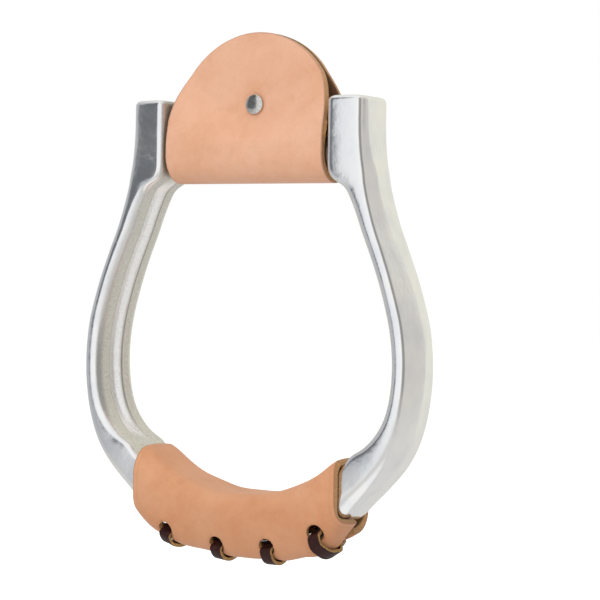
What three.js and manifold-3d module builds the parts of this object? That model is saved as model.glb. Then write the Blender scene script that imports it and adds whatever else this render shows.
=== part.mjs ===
// A western bell stirrup: a one-piece cast aluminum frame, a steel bar across its neck,
// a riveted leather cover folded round the bar, and a leather tread cover laced underneath.
// Millimetres, +Z up, +X along the neck bar, front towards -Y.
// The origin is the middle of the neck bar's axis.

import * as THREE from 'three';
import Module from 'manifold-3d';
import { mergeVertices } from 'three/addons/utils/BufferGeometryUtils.js';

const wasm = await Module();
wasm.setup();

// Frame casting, main sizes
const neckWidth = 76.2; // clear, between the two heads
const innerWidth = 135.2; // clear, at the widest place between the arms
const innerDrop = 137; // bar axis down to the top of the bare tread
const headRise = 22.3; // bar axis up to the flat head tops
const headDrop = 11.4; // bar axis down to the underside of the heads
const headTopRound = 2.2; // rounding round the top of each head

// Frame casting, thickness (seen from the front), depth (front to back) and edge roundings
const head = { thick: 14.4, depth: 23.8, innerEdge: 1.8, outerEdge: 1.3 };
const arm = { thick: 7, depth: 27.2, innerEdge: 1.9, outerEdge: 1.2 };
const tread = { thick: 15.5, depth: 26.4, innerEdge: 5, outerEdge: 7 };
const faceBulge = 0.7; // crown of the front and back faces
const creaseRise = 0.8; // height of the soft crease along the outer face
const grooveDepth = 2.8; // cast groove down the inside of each arm
const grooveWidth = 8.4;

// Neck bar, set into a blind socket in each head
const barDiameter = 16;
const socketDepth = 8;
const fitGap = 0.3; // between pieces that touch

// Neck cover
const coverThick = 2.8; // leather
const coverPlay = 3.4; // between the cover and the heads, both sides together
const coverWidth = neckWidth - coverPlay;
const coverRise = 48.4; // bar axis up to the top of its half-round flap
const coverShift = -0.6; // it has slid this far along the bar
const coverFacing = 0.4; // between the two leather layers where they are pressed together
const coverSideTouch = 44; // height at which the layers would meet at the cover's sides
const coverFoldRise = 2.5; // height at which the layers start to draw together
const coverPinch = 0.5; // the layers lie flat from this far below the rivet's head
const coverLean = 2.2; // how far the top leans back

// Rivet that closes the neck cover
const rivetHeight = 20.1; // above the bar axis
const rivetHead = { diameter: 8, thick: 0.9, dome: 0.6 };
const rivetPost = { diameter: 3.6, bore: 2.2 };
const rivetStem = 1.6; // diameter

// Tread cover
const treadLeather = 2.8;
const treadCoverLength = 94.8;
const treadCoverShift = 0.9; // it sits a little to one side
const treadCoverGap = 0.4; // between the leather and the casting
const flapHang = 8.9; // the laced flaps' edges below the casting, at their lowest
const flapReach = 11; // from the middle to the flaps' edges, at the loose corners
const flapKnee = 1.2; // height of the turn-in above a flap's edge

// Lace
const laceWidth = 5.0;
const laceThick = 1.5;
const laceHole = 6.8;
const laceGap = 0.6; // between the lace and the leather that it wraps
const laceInsideGap = 0.9; // between the lace's inside runs and the casting
const laceInsideReach = 6.9; // from the middle to where an inside run turns into its hole
const laceInset = 0.5; // from a leather face to where the strap turns
const laceDip = 0.4; // the strap's bend over the lower rim of a hole
const laceTail = 7; // free end tucked inside at each end

// Overrun of cutting tools
const overrun = 2;

const aluminum = new THREE.MeshStandardMaterial({ color: 0xd4d4d2, roughness: 0.18, metalness: 1 });
const steel = new THREE.MeshStandardMaterial({ color: 0x9a9a98, roughness: 0.35, metalness: 1 });
const nickel = new THREE.MeshStandardMaterial({ color: 0xc9c4ba, roughness: 0.2, metalness: 1 });
const leather = new THREE.MeshStandardMaterial({ color: 0xe0a380, roughness: 0.6, metalness: 0 });
const latigo = new THREE.MeshStandardMaterial({ color: 0x3a1f18, roughness: 0.5, metalness: 0 });

// Turns index and positions into a closed geometry whose faces point out.
function closedGeometry(positions, index) {
  let volume = 0;
  const a = new THREE.Vector3();
  const b = new THREE.Vector3();
  const c = new THREE.Vector3();
  for (let k = 0; k < index.length; k += 3) {
    a.fromArray(positions, 3 * index[k]);
    b.fromArray(positions, 3 * index[k + 1]);
    c.fromArray(positions, 3 * index[k + 2]);
    volume += a.dot(b.cross(c));
  }
  const order = volume > 0 ? index : index.slice().reverse();
  const geometry = new THREE.BufferGeometry();
  geometry.setAttribute('position', new THREE.Float32BufferAttribute(positions, 3));
  geometry.setIndex(order);
  return geometry;
}

// Skin over a row of closed rings with equal point counts, with a fan over each end.
function ringSkin(rings) {
  const count = rings[0].length;
  const positions = rings.flat().flatMap((p) => p.toArray());
  const index = [];
  for (let r = 0; r < rings.length - 1; r += 1) {
    for (let j = 0; j < count; j += 1) {
      const next = (j + 1) % count;
      const [p, q] = [r * count + j, r * count + next];
      index.push(p, q, q + count, p, q + count, p + count);
    }
  }
  const last = (rings.length - 1) * count;
  const middles = [rings[0], rings[rings.length - 1]].map((ring) => {
    const middle = ring.reduce((sum, p) => sum.add(p), new THREE.Vector3());
    positions.push(...middle.divideScalar(count).toArray());
    return positions.length / 3 - 1;
  });
  for (let j = 0; j < count; j += 1) {
    const next = (j + 1) % count;
    index.push(middles[0], next, j);
    index.push(middles[1], last + j, last + next);
  }
  return closedGeometry(positions, index);
}

// Thick sheet: grid of middle points, one row after another, thickened along its normals.
function thickSheet(grid, thick) {
  const rows = grid.length;
  const columns = grid[0].length;
  const at = (i, j) => grid[Math.min(Math.max(i, 0), rows - 1)][Math.min(Math.max(j, 0), columns - 1)];
  const rings = grid.map((row, i) => {
    const faces = [1, -1].map((side) => row.map((p, j) => {
      const along = at(i + 1, j).clone().sub(at(i - 1, j));
      const across = at(i, j + 1).clone().sub(at(i, j - 1));
      const normal = along.cross(across).normalize();
      return p.clone().addScaledVector(normal, side * thick / 2);
    }));
    return [...faces[0], ...faces[1].reverse()];
  });
  const count = 2 * columns;
  const skin = rings.flat().flatMap((p) => p.toArray());
  const index = [];
  const quad = (p, q, r, s) => index.push(p, q, r, p, r, s);
  for (let i = 0; i < rows - 1; i += 1) {
    for (let j = 0; j < count; j += 1) {
      const next = (j + 1) % count;
      quad(i * count + j, i * count + next, (i + 1) * count + next, (i + 1) * count + j);
    }
  }
  const last = (rows - 1) * count;
  for (let j = 0; j < columns - 1; j += 1) {
    quad(j + 1, j, count - 1 - j, count - 2 - j);
    quad(last + j, last + j + 1, last + count - 2 - j, last + count - 1 - j);
  }
  return closedGeometry(skin, index);
}

const mergeDistance = 1e-5;

function toManifold(geometry) {
  const bare = geometry.clone();
  bare.deleteAttribute('normal');
  bare.deleteAttribute('uv');
  const merged = mergeVertices(bare, mergeDistance);
  return new wasm.Manifold(new wasm.Mesh({
    numProp: 3,
    vertProperties: new Float32Array(merged.attributes.position.array),
    triVerts: new Uint32Array(merged.index.array),
  }));
}

function fromManifold(solid) {
  const mesh = solid.getMesh();
  const geometry = new THREE.BufferGeometry();
  geometry.setAttribute('position', new THREE.BufferAttribute(mesh.vertProperties, 3));
  geometry.setIndex(new THREE.BufferAttribute(mesh.triVerts, 1));
  return geometry;
}

function subtract(geometry, tools) {
  const solid = tools.reduce((left, tool) => left.subtract(toManifold(tool)), toManifold(geometry));
  return fromManifold(solid);
}

// Cylinder between two points
function rod(radius, from, to, sides) {
  const length = from.distanceTo(to);
  const geometry = new THREE.CylinderGeometry(radius, radius, length, sides);
  const turn = new THREE.Quaternion().setFromUnitVectors(
    new THREE.Vector3(0, 1, 0),
    to.clone().sub(from).normalize(),
  );
  geometry.applyQuaternion(turn);
  geometry.translate(...from.clone().lerp(to, 0.5).toArray());
  return geometry;
}

function mesh(name, geometry, material) {
  const made = new THREE.Mesh(geometry, material);
  made.name = name;
  return made;
}

const mix = THREE.MathUtils.lerp;
const clamp01 = (value) => THREE.MathUtils.clamp(value, 0, 1);

// Frame casting
// Stations down one arm from the head to the middle of the tread. Each gives the inner point's place
// across and down, the lean of the section from the inner to the outer face in degrees, and shares
// for: thickness, depth, groove, crease place across the depth, inner edge, outer edge. The first
// station is where the rounding of the head's top ends.
const headStationShares = [
  [0, 1, 0, 0.995, 1, 0, -0.56, 1, 1],
  [0, 0.4, 0, 1.003, 1, 0, -0.5, 1, 1],
  [0, -0.1, 0, 1.055, 1, 0, -0.36, 1, 1],
  [0, -0.44, 0, 1.1, 1, 0, -0.18, 1, 1],
  [0.1, -0.72, 1, 1.087, 1.005, 0, -0.12, 1, 1],
  [0.36, -0.93, 4, 0.98, 1.01, 0.3, -0.05, 1, 1],
];
const shoulderWidth = 7; // across the underside of a head, from the inner face to the arm
const armStationShares = [
  [0.25, 0.0905, 9, 1.353, 0.87, 0.7, 0.01, 1, 1],
  [0.307, 0.117, 15, 1.225, 0.873, 0.95, 0.07, 1, 1],
  [0.378, 0.15, 19, 1.095, 0.88, 1, 0.15, 1, 1],
  [0.507, 0.222, 21, 0.995, 0.895, 1, 0.24, 1, 1],
  [0.662, 0.299, 20.5, 0.945, 0.913, 1, 0.3, 1, 1],
  [0.812, 0.385, 17, 0.93, 0.935, 1, 0.33, 1, 1],
  [0.955, 0.5, 9.5, 0.955, 0.945, 1, 0.33, 1, 1],
  [1, 0.607, -1, 0.94, 0.958, 1, 0.3, 1, 1.1],
  [0.957, 0.7, -15, 0.97, 0.98, 1, 0.25, 1, 1.3],
  [0.865, 0.757, -28, 1.14, 0.99, 0.9, 0.18, 1, 1.6],
  [0.737, 0.8, -37, 1.38, 1, 0.6, 0.1, 1, 2],
  [0.592, 0.829, -46, 1.655, 1, 0.2, 0.05, 1, 2.4],
  [0.436, 0.848, -53, 1.965, 0.995, 0, 0, 1.1, 2.9],
];
const treadStationShares = [
  [0.718, 0.875, -55, 0.85, 1.01, 0, 0, 1.1, 0.6],
  [0.656, 0.895, -57, 0.925, 1, 0, 0, 1.1, 0.7],
  [0.561, 0.926, -65, 1.075, 1, 0, 0, 1, 0.9],
  [0.41, 0.962, -73, 1.07, 1, 0, 0, 1, 1],
  [0.21, 0.991, -82, 1.02, 1, 0, 0, 1, 1],
  [0, 1, -90, 1, 1, 0, 0, 1, 1],
];
const creaseFadeShares = { from: 0.62, to: 0.8 }; // of the way down the arm
const sectionCount = 46;
const topRoundSteps = 3;

const barSides = 40;
const neckHalf = neckWidth / 2;
const innerHalf = innerWidth / 2;

const stations = [
  ...headStationShares.map(([across, down, ...rest]) => ({
    x: neckHalf + across * shoulderWidth,
    z: down > 0 ? down * (headRise - headTopRound) : down * headDrop,
    part: head,
    rest,
  })),
  ...armStationShares.map(([across, down, ...rest]) => ({
    x: mix(neckHalf, innerHalf, across),
    z: -down * innerDrop,
    part: arm,
    rest,
  })),
  ...treadStationShares.map(([across, down, ...rest]) => ({
    x: across * innerHalf,
    z: -down * innerDrop,
    part: tread,
    rest,
  })),
].map(({ x, z, part, rest }) => {
  const [lean, thickShare, depthShare, groove, crease, innerShare, outerShare] = rest;
  const angle = THREE.MathUtils.degToRad(lean);
  const thick = thickShare * part.thick;
  const inner = new THREE.Vector3(x, 0, z);
  const direction = new THREE.Vector3(Math.cos(angle), 0, Math.sin(angle));
  return {
    inner,
    outer: inner.clone().addScaledVector(direction, thick),
    edges: new THREE.Vector3(
      innerShare * part.innerEdge,
      outerShare * part.outerEdge,
      depthShare * part.depth,
    ),
    marks: new THREE.Vector3(groove, crease, 0),
  };
});

// The far side of the tread's middle mirrors the near side, so that the curves run level through it.
const beyond = stations[stations.length - 2];
const mirrorX = (p) => new THREE.Vector3(-p.x, p.y, p.z);
const guided = [...stations, {
  ...beyond,
  inner: mirrorX(beyond.inner),
  outer: mirrorX(beyond.outer),
}];
const guide = (pick) => new THREE.CatmullRomCurve3(guided.map(pick), false, 'centripetal');
const innerGuide = guide((s) => s.inner);
const outerGuide = guide((s) => s.outer);
const edgeGuide = guide((s) => s.edges);
const markGuide = guide((s) => s.marks);
const guideEnd = (stations.length - 1) / (guided.length - 1);

// One section, place 0 just under the head's top and 1 at the middle of the tread
function castSection(place) {
  const t = place * guideEnd;
  const inner = innerGuide.getPoint(t);
  const outer = outerGuide.getPoint(t);
  const edges = edgeGuide.getPoint(t);
  const marks = markGuide.getPoint(t);
  return {
    inner,
    outer,
    innerEdge: edges.x,
    outerEdge: edges.y,
    depth: edges.z,
    groove: marks.x,
    crease: marks.y,
  };
}

const quarterShares = [0, 0.29, 0.71, 1]; // steps round an edge rounding, as 1 - cos and sin of the turn
const faceShares = [0.25, 0.5, 0.75]; // places across a front or back face
const grooveShares = [[0, 1], [0.45, 1], [0.72, 0.62], [0.88, 0.2], [1, 0]]; // half width, depth
const rimShare = 0.55; // a place on the flat rim beside the groove

// Half outline of a section: pairs of the way across from the inner face and the way out from the
// section's middle plane.
function sectionOutline(section) {
  const thick = section.inner.distanceTo(section.outer);
  const half = section.depth / 2;
  const { innerEdge, outerEdge } = section;
  const grooveHalf = grooveWidth / 2;
  const face = (across) => {
    const centred = 2 * across / thick - 1;
    return half - faceBulge * centred * centred;
  };
  const side = [];
  grooveShares.forEach(([wide, deep]) => side.push([deep * section.groove * grooveDepth, wide * grooveHalf]));
  side.push([0, mix(grooveHalf, half - innerEdge - faceBulge, rimShare)]);
  quarterShares.forEach((turn, k) => {
    const back = quarterShares[quarterShares.length - 1 - k];
    side.push([innerEdge * turn * turn, face(innerEdge) - innerEdge * back * back]);
  });
  faceShares.forEach((share) => {
    const across = mix(innerEdge, thick - outerEdge, share);
    side.push([across, face(across)]);
  });
  quarterShares.forEach((turn, k) => {
    const back = quarterShares[quarterShares.length - 1 - k];
    side.push([thick - outerEdge * back * back, face(thick - outerEdge) - outerEdge * turn * turn]);
  });
  return { side, thick, half };
}

function sectionRing(place, inset = 0) {
  const section = castSection(place);
  const { side, thick, half } = sectionOutline(section);
  const fade = 1 - clamp01((place - creaseFadeShares.from) / (creaseFadeShares.to - creaseFadeShares.from));
  const crease = [thick + creaseRise * fade, section.crease * half];
  const ring = [
    ...side.slice().reverse().map(([across, out]) => [across, -out]),
    ...side.slice(1).map(([across, out]) => [across, out]),
    crease,
  ];
  const direction = section.outer.clone().sub(section.inner).normalize();
  return ring.map(([across, out]) => {
    const inAcross = thick / 2 + (across - thick / 2) * (1 - 2 * inset / thick);
    const inOut = out * (1 - inset / half);
    const p = section.inner.clone().addScaledVector(direction, inAcross);
    p.y = inOut;
    return p;
  });
}

function frameCasting() {
  const half = [];
  for (let k = topRoundSteps; k > 0; k -= 1) {
    const turn = Math.PI / 2 * k / topRoundSteps;
    const ring = sectionRing(0, headTopRound * (1 - Math.cos(turn)));
    half.push(ring.map((p) => p.setZ(p.z + headTopRound * Math.sin(turn))));
  }
  for (let k = 0; k <= sectionCount; k += 1) {
    half.push(sectionRing(k / sectionCount));
  }
  const mirrored = half.slice(0, -1).reverse().map((ring) => ring.map(mirrorX));
  const body = ringSkin([...half, ...mirrored]);
  const socketRadius = barDiameter / 2 + fitGap;
  const sockets = [1, -1].map((side) => rod(
    socketRadius,
    new THREE.Vector3(side * (neckHalf - overrun), 0, 0),
    new THREE.Vector3(side * (neckHalf + socketDepth), 0, 0),
    barSides,
  ));
  return subtract(body, sockets);
}

// Steel bar, its ends a fit gap clear of the socket floors
function neckBar() {
  const reach = neckHalf + socketDepth - fitGap;
  return rod(barDiameter / 2, new THREE.Vector3(-reach, 0, 0), new THREE.Vector3(reach, 0, 0), barSides);
}

// Neck cover
// One strip of leather: down the front, round the bar and up the back. Seen from the front it is
// straight-sided with a half-round top.
const coverHalf = coverWidth / 2;
const coverShoulder = coverRise - coverHalf; // where the half-round top begins
const foldRadius = barDiameter / 2 + fitGap + coverThick / 2; // middle of the leather
const pressedOut = coverThick / 2 + coverFacing / 2; // middle of each layer where they meet
const foldSteps = 10;
const panelSteps = 10;
const coverColumns = 9; // on each side of the middle

const leanAt = (z) => (z > 0 ? coverLean * (z / coverRise) ** 2 : 0);

// How far the middle of a layer stands from the cover's mid plane, height z, x across
function layerOut(x, z) {
  const side = Math.min(Math.abs(x) / coverHalf, 1);
  const pinched = rivetHeight - rivetHead.diameter / 2 - coverPinch;
  const touch = mix(pinched, coverSideTouch, side * side);
  const rise = clamp01((z - coverFoldRise) / (touch - coverFoldRise));
  const open = (1 - rise) ** 2 * (1 + 2 * rise);
  return mix(pressedOut, foldRadius, open);
}

function neckCover() {
  // Heights are shares of the column's own height, so the rows follow the half-round top.
  const columnTop = (x) => coverShoulder + Math.sqrt(Math.max(coverHalf ** 2 - x ** 2, 0));
  const grid = [];
  for (let j = 0; j <= 2 * coverColumns; j += 1) {
    const x = -coverHalf * Math.cos(Math.PI * j / (2 * coverColumns));
    const top = columnTop(x);
    const column = [];
    const panel = (facing) => {
      const side = [];
      for (let k = 0; k <= panelSteps; k += 1) {
        const z = top * k / panelSteps;
        side.push(new THREE.Vector3(x + coverShift, facing * layerOut(x, z) + leanAt(z), z));
      }
      return side;
    };
    column.push(...panel(-1).reverse());
    for (let k = 1; k < foldSteps; k += 1) {
      const turn = Math.PI * k / foldSteps;
      column.push(new THREE.Vector3(
        x + coverShift,
        -foldRadius * Math.cos(turn),
        -foldRadius * Math.sin(turn),
      ));
    }
    column.push(...panel(1));
    grid.push(column);
  }
  return subtract(thickSheet(grid, coverThick), [rivetHole()]);
}

// Rivet frame: its middle between the leather layers, its axis square to them
const rivetSlope = 2 * coverLean * rivetHeight / coverRise ** 2;
const rivetTurn = new THREE.Quaternion().setFromUnitVectors(
  new THREE.Vector3(0, 1, 0),
  new THREE.Vector3(0, 1, -rivetSlope).normalize(),
);
const rivetPlace = new THREE.Vector3(coverShift, leanAt(rivetHeight), rivetHeight);
const rivetSides = 28;
const stackHalf = pressedOut + coverThick / 2; // middle of the rivet to a leather face

function placeRivet(geometry) {
  geometry.applyQuaternion(rivetTurn);
  geometry.translate(...rivetPlace.toArray());
  return geometry;
}

function rivetHole() {
  const reach = stackHalf + overrun;
  const hole = rod(
    rivetPost.diameter / 2 + fitGap,
    new THREE.Vector3(0, -reach, 0),
    new THREE.Vector3(0, reach, 0),
    rivetSides,
  );
  return placeRivet(hole);
}

// Head of a rivet half, as profile points from its rim to the middle of its dome
const domeShares = [[1, 0.35], [0.93, 0.62], [0.7, 0.85], [0.4, 0.96], [0, 1]]; // radius, height
function headProfile(seat) {
  const radius = rivetHead.diameter / 2;
  const height = rivetHead.thick + rivetHead.dome;
  return [
    new THREE.Vector2(radius, seat),
    ...domeShares.map(([wide, high]) => new THREE.Vector2(wide * radius, seat + high * height)),
  ];
}

// Front half: domed cap and hollow post
function rivetCap() {
  const seat = stackHalf + fitGap;
  const reach = stackHalf;
  const profile = [
    new THREE.Vector2(0, seat),
    new THREE.Vector2(rivetPost.bore / 2, seat),
    new THREE.Vector2(rivetPost.bore / 2, -reach),
    new THREE.Vector2(rivetPost.diameter / 2, -reach),
    new THREE.Vector2(rivetPost.diameter / 2, seat),
    ...headProfile(seat),
  ];
  const geometry = new THREE.LatheGeometry(profile, rivetSides);
  geometry.rotateX(Math.PI);
  return placeRivet(fromManifold(toManifold(geometry)));
}

// Back half: domed head and solid stem inside the post
function rivetStud() {
  const seat = stackHalf + fitGap;
  const profile = [
    new THREE.Vector2(0, -stackHalf),
    new THREE.Vector2(rivetStem / 2, -stackHalf),
    new THREE.Vector2(rivetStem / 2, seat),
    ...headProfile(seat),
  ];
  const geometry = new THREE.LatheGeometry(profile, rivetSides);
  return placeRivet(fromManifold(toManifold(geometry)));
}

// Tread cover
// A strip of leather over the tread, its two flaps turned in below and laced together. It is drawn
// in upright slices: the flat top, a rounded corner, the side, and the flap as a quadratic curve.
const treadCoverHalf = treadCoverLength / 2;
const treadSide = tread.depth / 2 + treadCoverGap + treadLeather / 2; // middle of the leather's side
const treadCornerRadius = tread.innerEdge + treadCoverGap + treadLeather / 2;

// The casting's height under and over a place on the tread, read from its own guide curves
const treadFromShare = 0.6; // of the way down the arm, from which the curves are read
const treadSamples = 160;
function heightCurve(guideCurve) {
  const points = [];
  for (let k = 0; k <= treadSamples; k += 1) {
    points.push(guideCurve.getPoint(mix(treadFromShare, 1, k / treadSamples) * guideEnd));
  }
  return (x) => {
    const place = Math.abs(x);
    const far = points.findIndex((p) => p.x <= place);
    const [p, q] = [points[Math.max(far - 1, 0)], points[Math.max(far, 1)]];
    return mix(q.z, p.z, clamp01((place - q.x) / (p.x - q.x)));
  };
}
const treadTop = heightCurve(innerGuide);
const treadBottom = heightCurve(outerGuide);

const slopeStep = 0.5;
const slopeAt = (curve, x) => (curve(x + slopeStep) - curve(x - slopeStep)) / (2 * slopeStep);
const uprightFactor = (slope) => Math.sqrt(1 + slope * slope);

// The front flap's edge: place along the cover, hang below the casting, reach from the middle.
// The back flap is the front one turned half round.
const flapEdgeShares = [
  [-1, 0.2, 0.8],
  [-0.93, 0.38, 0.7],
  [-0.8, 0.55, 0.55],
  [-0.63, 0.6, 0.45],
  [-0.3, 0.62, 0.41],
  [0, 0.6, 0.41],
  [0.3, 0.72, 0.41],
  [0.5, 0.82, 0.41],
  [0.66, 0.78, 0.38],
  [0.8, 0.68, 0.34],
  [0.92, 0.6, 0.23],
  [1, 0.52, 0],
];

function between(shares, place, column) {
  const far = Math.max(shares.findIndex((row) => row[0] >= place), 1);
  const [p, q] = [shares[far - 1], shares[far]];
  const part = clamp01((place - p[0]) / (q[0] - p[0]));
  return mix(p[column], q[column], part * part * (3 - 2 * part));
}

// The flap at x as a curve in its slice: y is the distance out from the middle on its own side.
function flapCurve(x, facing) {
  const along = facing < 0 ? x - treadCoverShift : -x + treadCoverShift;
  const place = along / treadCoverHalf;
  const bottom = treadBottom(x);
  const edgeZ = bottom - flapHang * between(flapEdgeShares, place, 1);
  const edgeY = flapReach * between(flapEdgeShares, place, 2);
  return new THREE.QuadraticBezierCurve(
    new THREE.Vector2(treadSide, bottom + tread.outerEdge),
    new THREE.Vector2(treadSide, edgeZ + flapKnee),
    new THREE.Vector2(edgeY, edgeZ),
  );
}

const topSteps = 2;
const cornerSteps = 4;
const sideSteps = 3;
const flapSteps = 6;
const treadRows = 25;
const laceHoleSides = 16;

function treadCoverSide(x, facing) {
  const lift = (treadCoverGap + treadLeather / 2) * uprightFactor(slopeAt(treadTop, x));
  const top = treadTop(x) + lift;
  const flat = treadSide - treadCornerRadius;
  const flap = flapCurve(x, facing);
  const points = [];
  for (let k = 0; k < topSteps; k += 1) {
    points.push([flat * k / topSteps, top]);
  }
  for (let k = 0; k < cornerSteps; k += 1) {
    const turn = Math.PI / 2 * k / cornerSteps;
    points.push([
      flat + treadCornerRadius * Math.sin(turn),
      top - treadCornerRadius * (1 - Math.cos(turn)),
    ]);
  }
  for (let k = 0; k < sideSteps; k += 1) {
    points.push([treadSide, mix(top - treadCornerRadius, flap.v0.y, k / sideSteps)]);
  }
  flap.getPoints(flapSteps).forEach((p) => points.push([p.x, p.y]));
  return points.map(([out, z]) => new THREE.Vector3(x, facing * out, z));
}

// Lace holes along the cover: place along it, and place down the front and the back flap
const laceHoleShares = [
  [-0.68, 0.46, 0.46],
  [-0.168, 0.45, 0.46],
  [0.322, 0.44, 0.46],
  [0.778, 0.36, 0.5],
];

// Frame on a flap, t of the way down it: the middle of the leather, the way down the flap, the way
// along the cover, and the way out of the leather.
function flapFrame(x, facing, t) {
  const spot = (px) => {
    const p = flapCurve(px, facing).getPoint(t);
    return new THREE.Vector3(px, facing * p.x, p.y);
  };
  const tangent = flapCurve(x, facing).getTangent(t);
  const down = new THREE.Vector3(0, facing * tangent.x, tangent.y);
  const along = spot(x + slopeStep).sub(spot(x - slopeStep)).normalize();
  const out = along.clone().cross(down).normalize().multiplyScalar(facing);
  return { middle: spot(x), downward: down, along, out };
}

const laceStitches = laceHoleShares.map(([place, frontDown, backDown]) => {
  const x = place * treadCoverHalf + treadCoverShift;
  const hole = (facing, down) => ({ x, facing, down, ...flapFrame(x, facing, down) });
  return { x, holes: [hole(-1, frontDown), hole(1, backDown)] };
});

function treadCover() {
  const grid = [];
  for (let i = 0; i <= treadRows; i += 1) {
    const x = mix(-treadCoverHalf, treadCoverHalf, i / treadRows) + treadCoverShift;
    const front = treadCoverSide(x, -1);
    const back = treadCoverSide(x, 1);
    grid.push([...front.reverse(), ...back.slice(1)]);
  }
  const tools = laceStitches.flatMap((stitch) => stitch.holes.map((hole) => rod(
    laceHole / 2,
    hole.middle.clone().addScaledVector(hole.out, -treadLeather),
    hole.middle.clone().addScaledVector(hole.out, treadLeather),
    laceHoleSides,
  )));
  return subtract(thickSheet(grid, treadLeather), tools);
}

// Lace
// One strap, whip-stitched: out of a front hole, down and across under both flaps, in at the back
// hole, then inside on to the next front hole. Its free ends are tucked inside.
const holeHalf = treadLeather / 2 + laceInset; // middle of the leather to where the strap may turn
const wrapOut = treadLeather / 2 + laceGap + laceThick / 2; // middle of the leather to the strap's
const wrapSteps = 3;
const runSteps = 8;
const laceStep = 1.7; // between rings
const laceTailShares = { start: 0.33, end: 0.5 }; // how far from the middle the free ends lie

// Height of an inside run: clear of the casting's underside
function insideHeight(x) {
  const factor = uprightFactor(slopeAt(treadBottom, x));
  return treadBottom(x) - (laceInsideGap + laceThick / 2) * factor;
}

// Outside part of a stitch on one flap, from the hole's inner side to the flap's edge: points with
// the way that the strap's width lies
function wrapPoints({ x, facing, down, middle, downward, along, out }) {
  const points = [-holeHalf, 0, holeHalf].map((reach) => ({
    point: middle.clone()
      .addScaledVector(out, reach)
      .addScaledVector(downward, reach === 0 ? 0 : laceDip),
    width: along,
  }));
  const start = down + (laceHole / 2 + laceThick / 2) / flapCurve(x, facing).getLength();
  for (let k = 0; k <= wrapSteps; k += 1) {
    const frame = flapFrame(x, facing, mix(start, 1, k / wrapSteps));
    points.push({ point: frame.middle.addScaledVector(frame.out, wrapOut), width: frame.along });
  }
  return points;
}

// Inside run between two places, leaving and arriving square to the flaps
function insideRun(from, to) {
  const points = [];
  for (let k = 0; k <= runSteps; k += 1) {
    const share = k / runSteps;
    const x = mix(from.x, to.x, share * share * (3 - 2 * share));
    points.push({
      point: new THREE.Vector3(x, mix(from.y, to.y, share), insideHeight(x)),
      width: new THREE.Vector3(1, 0, slopeAt(treadBottom, x)).normalize(),
    });
  }
  return points;
}

function laceRoute() {
  const first = laceStitches[0];
  const last = laceStitches[laceStitches.length - 1];
  const points = insideRun(
    { x: first.x - laceTail, y: laceTailShares.start * laceInsideReach },
    { x: first.x, y: -laceInsideReach },
  );
  laceStitches.forEach((stitch, k) => {
    const [front, back] = stitch.holes.map(wrapPoints);
    points.push(...front, ...back.reverse());
    const next = laceStitches[k + 1];
    if (next) {
      points.push(...insideRun({ x: stitch.x, y: laceInsideReach }, { x: next.x, y: -laceInsideReach }));
    }
  });
  points.push(...insideRun(
    { x: last.x, y: laceInsideReach },
    { x: last.x - laceTail, y: laceTailShares.end * laceInsideReach },
  ));
  return points;
}

function treadLace() {
  const stops = laceRoute();
  const route = new THREE.CatmullRomCurve3(stops.map((stop) => stop.point), false, 'centripetal');
  const samples = [];
  stops.slice(0, -1).forEach((stop, k) => {
    const next = stops[k + 1];
    const steps = Math.ceil(stop.point.distanceTo(next.point) / laceStep);
    for (let n = 0; n < steps; n += 1) {
      const share = n / steps;
      samples.push({
        point: route.getPoint((k + share) / (stops.length - 1)),
        width: stop.width.clone().lerp(next.width, share),
      });
    }
  });
  samples.push(stops[stops.length - 1]);
  const last = samples.length - 1;
  const rings = samples.map(({ point, width }, k) => {
    const before = samples[Math.max(k - 1, 0)].point;
    const after = samples[Math.min(k + 1, last)].point;
    const heading = after.clone().sub(before).normalize();
    const side = width.clone().addScaledVector(heading, -width.dot(heading)).normalize();
    const face = heading.clone().cross(side);
    return [[1, 1], [-1, 1], [-1, -1], [1, -1]].map(([across, up]) => point.clone()
      .addScaledVector(side, across * laceWidth / 2)
      .addScaledVector(face, up * laceThick / 2));
  });
  const length = route.getLength();
  console.log('lace length, mm:', length.toFixed(1));
  console.log('least gap of the lace to itself, mm:', leastSelfGap(rings, length).toFixed(2));
  return ringSkin(rings);
}

// Least distance between rings that are far apart along the strap
const selfGapSkip = 4; // widths of strap
function leastSelfGap(rings, length) {
  const skip = Math.ceil(selfGapSkip * laceWidth / length * rings.length);
  let least = Infinity;
  for (let i = 0; i < rings.length; i += 1) {
    for (let j = i + skip; j < rings.length; j += 1) {
      rings[i].forEach((p) => rings[j].forEach((q) => {
        least = Math.min(least, p.distanceTo(q));
      }));
    }
  }
  return least;
}

const group = new THREE.Group();
group.add(mesh('frame_casting', frameCasting(), aluminum));
group.add(mesh('neck_bar', neckBar(), steel));
group.add(mesh('neck_cover', neckCover(), leather));
group.add(mesh('rivet_cap', rivetCap(), nickel));
group.add(mesh('rivet_stud', rivetStud(), nickel));
group.add(mesh('tread_cover', treadCover(), leather));
group.add(mesh('tread_lace', treadLace(), latigo));
export default group;
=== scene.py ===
import math

import bmesh
import bpy
import numpy as np
from mathutils import Matrix, Vector
from mathutils.kdtree import KDTree

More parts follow.
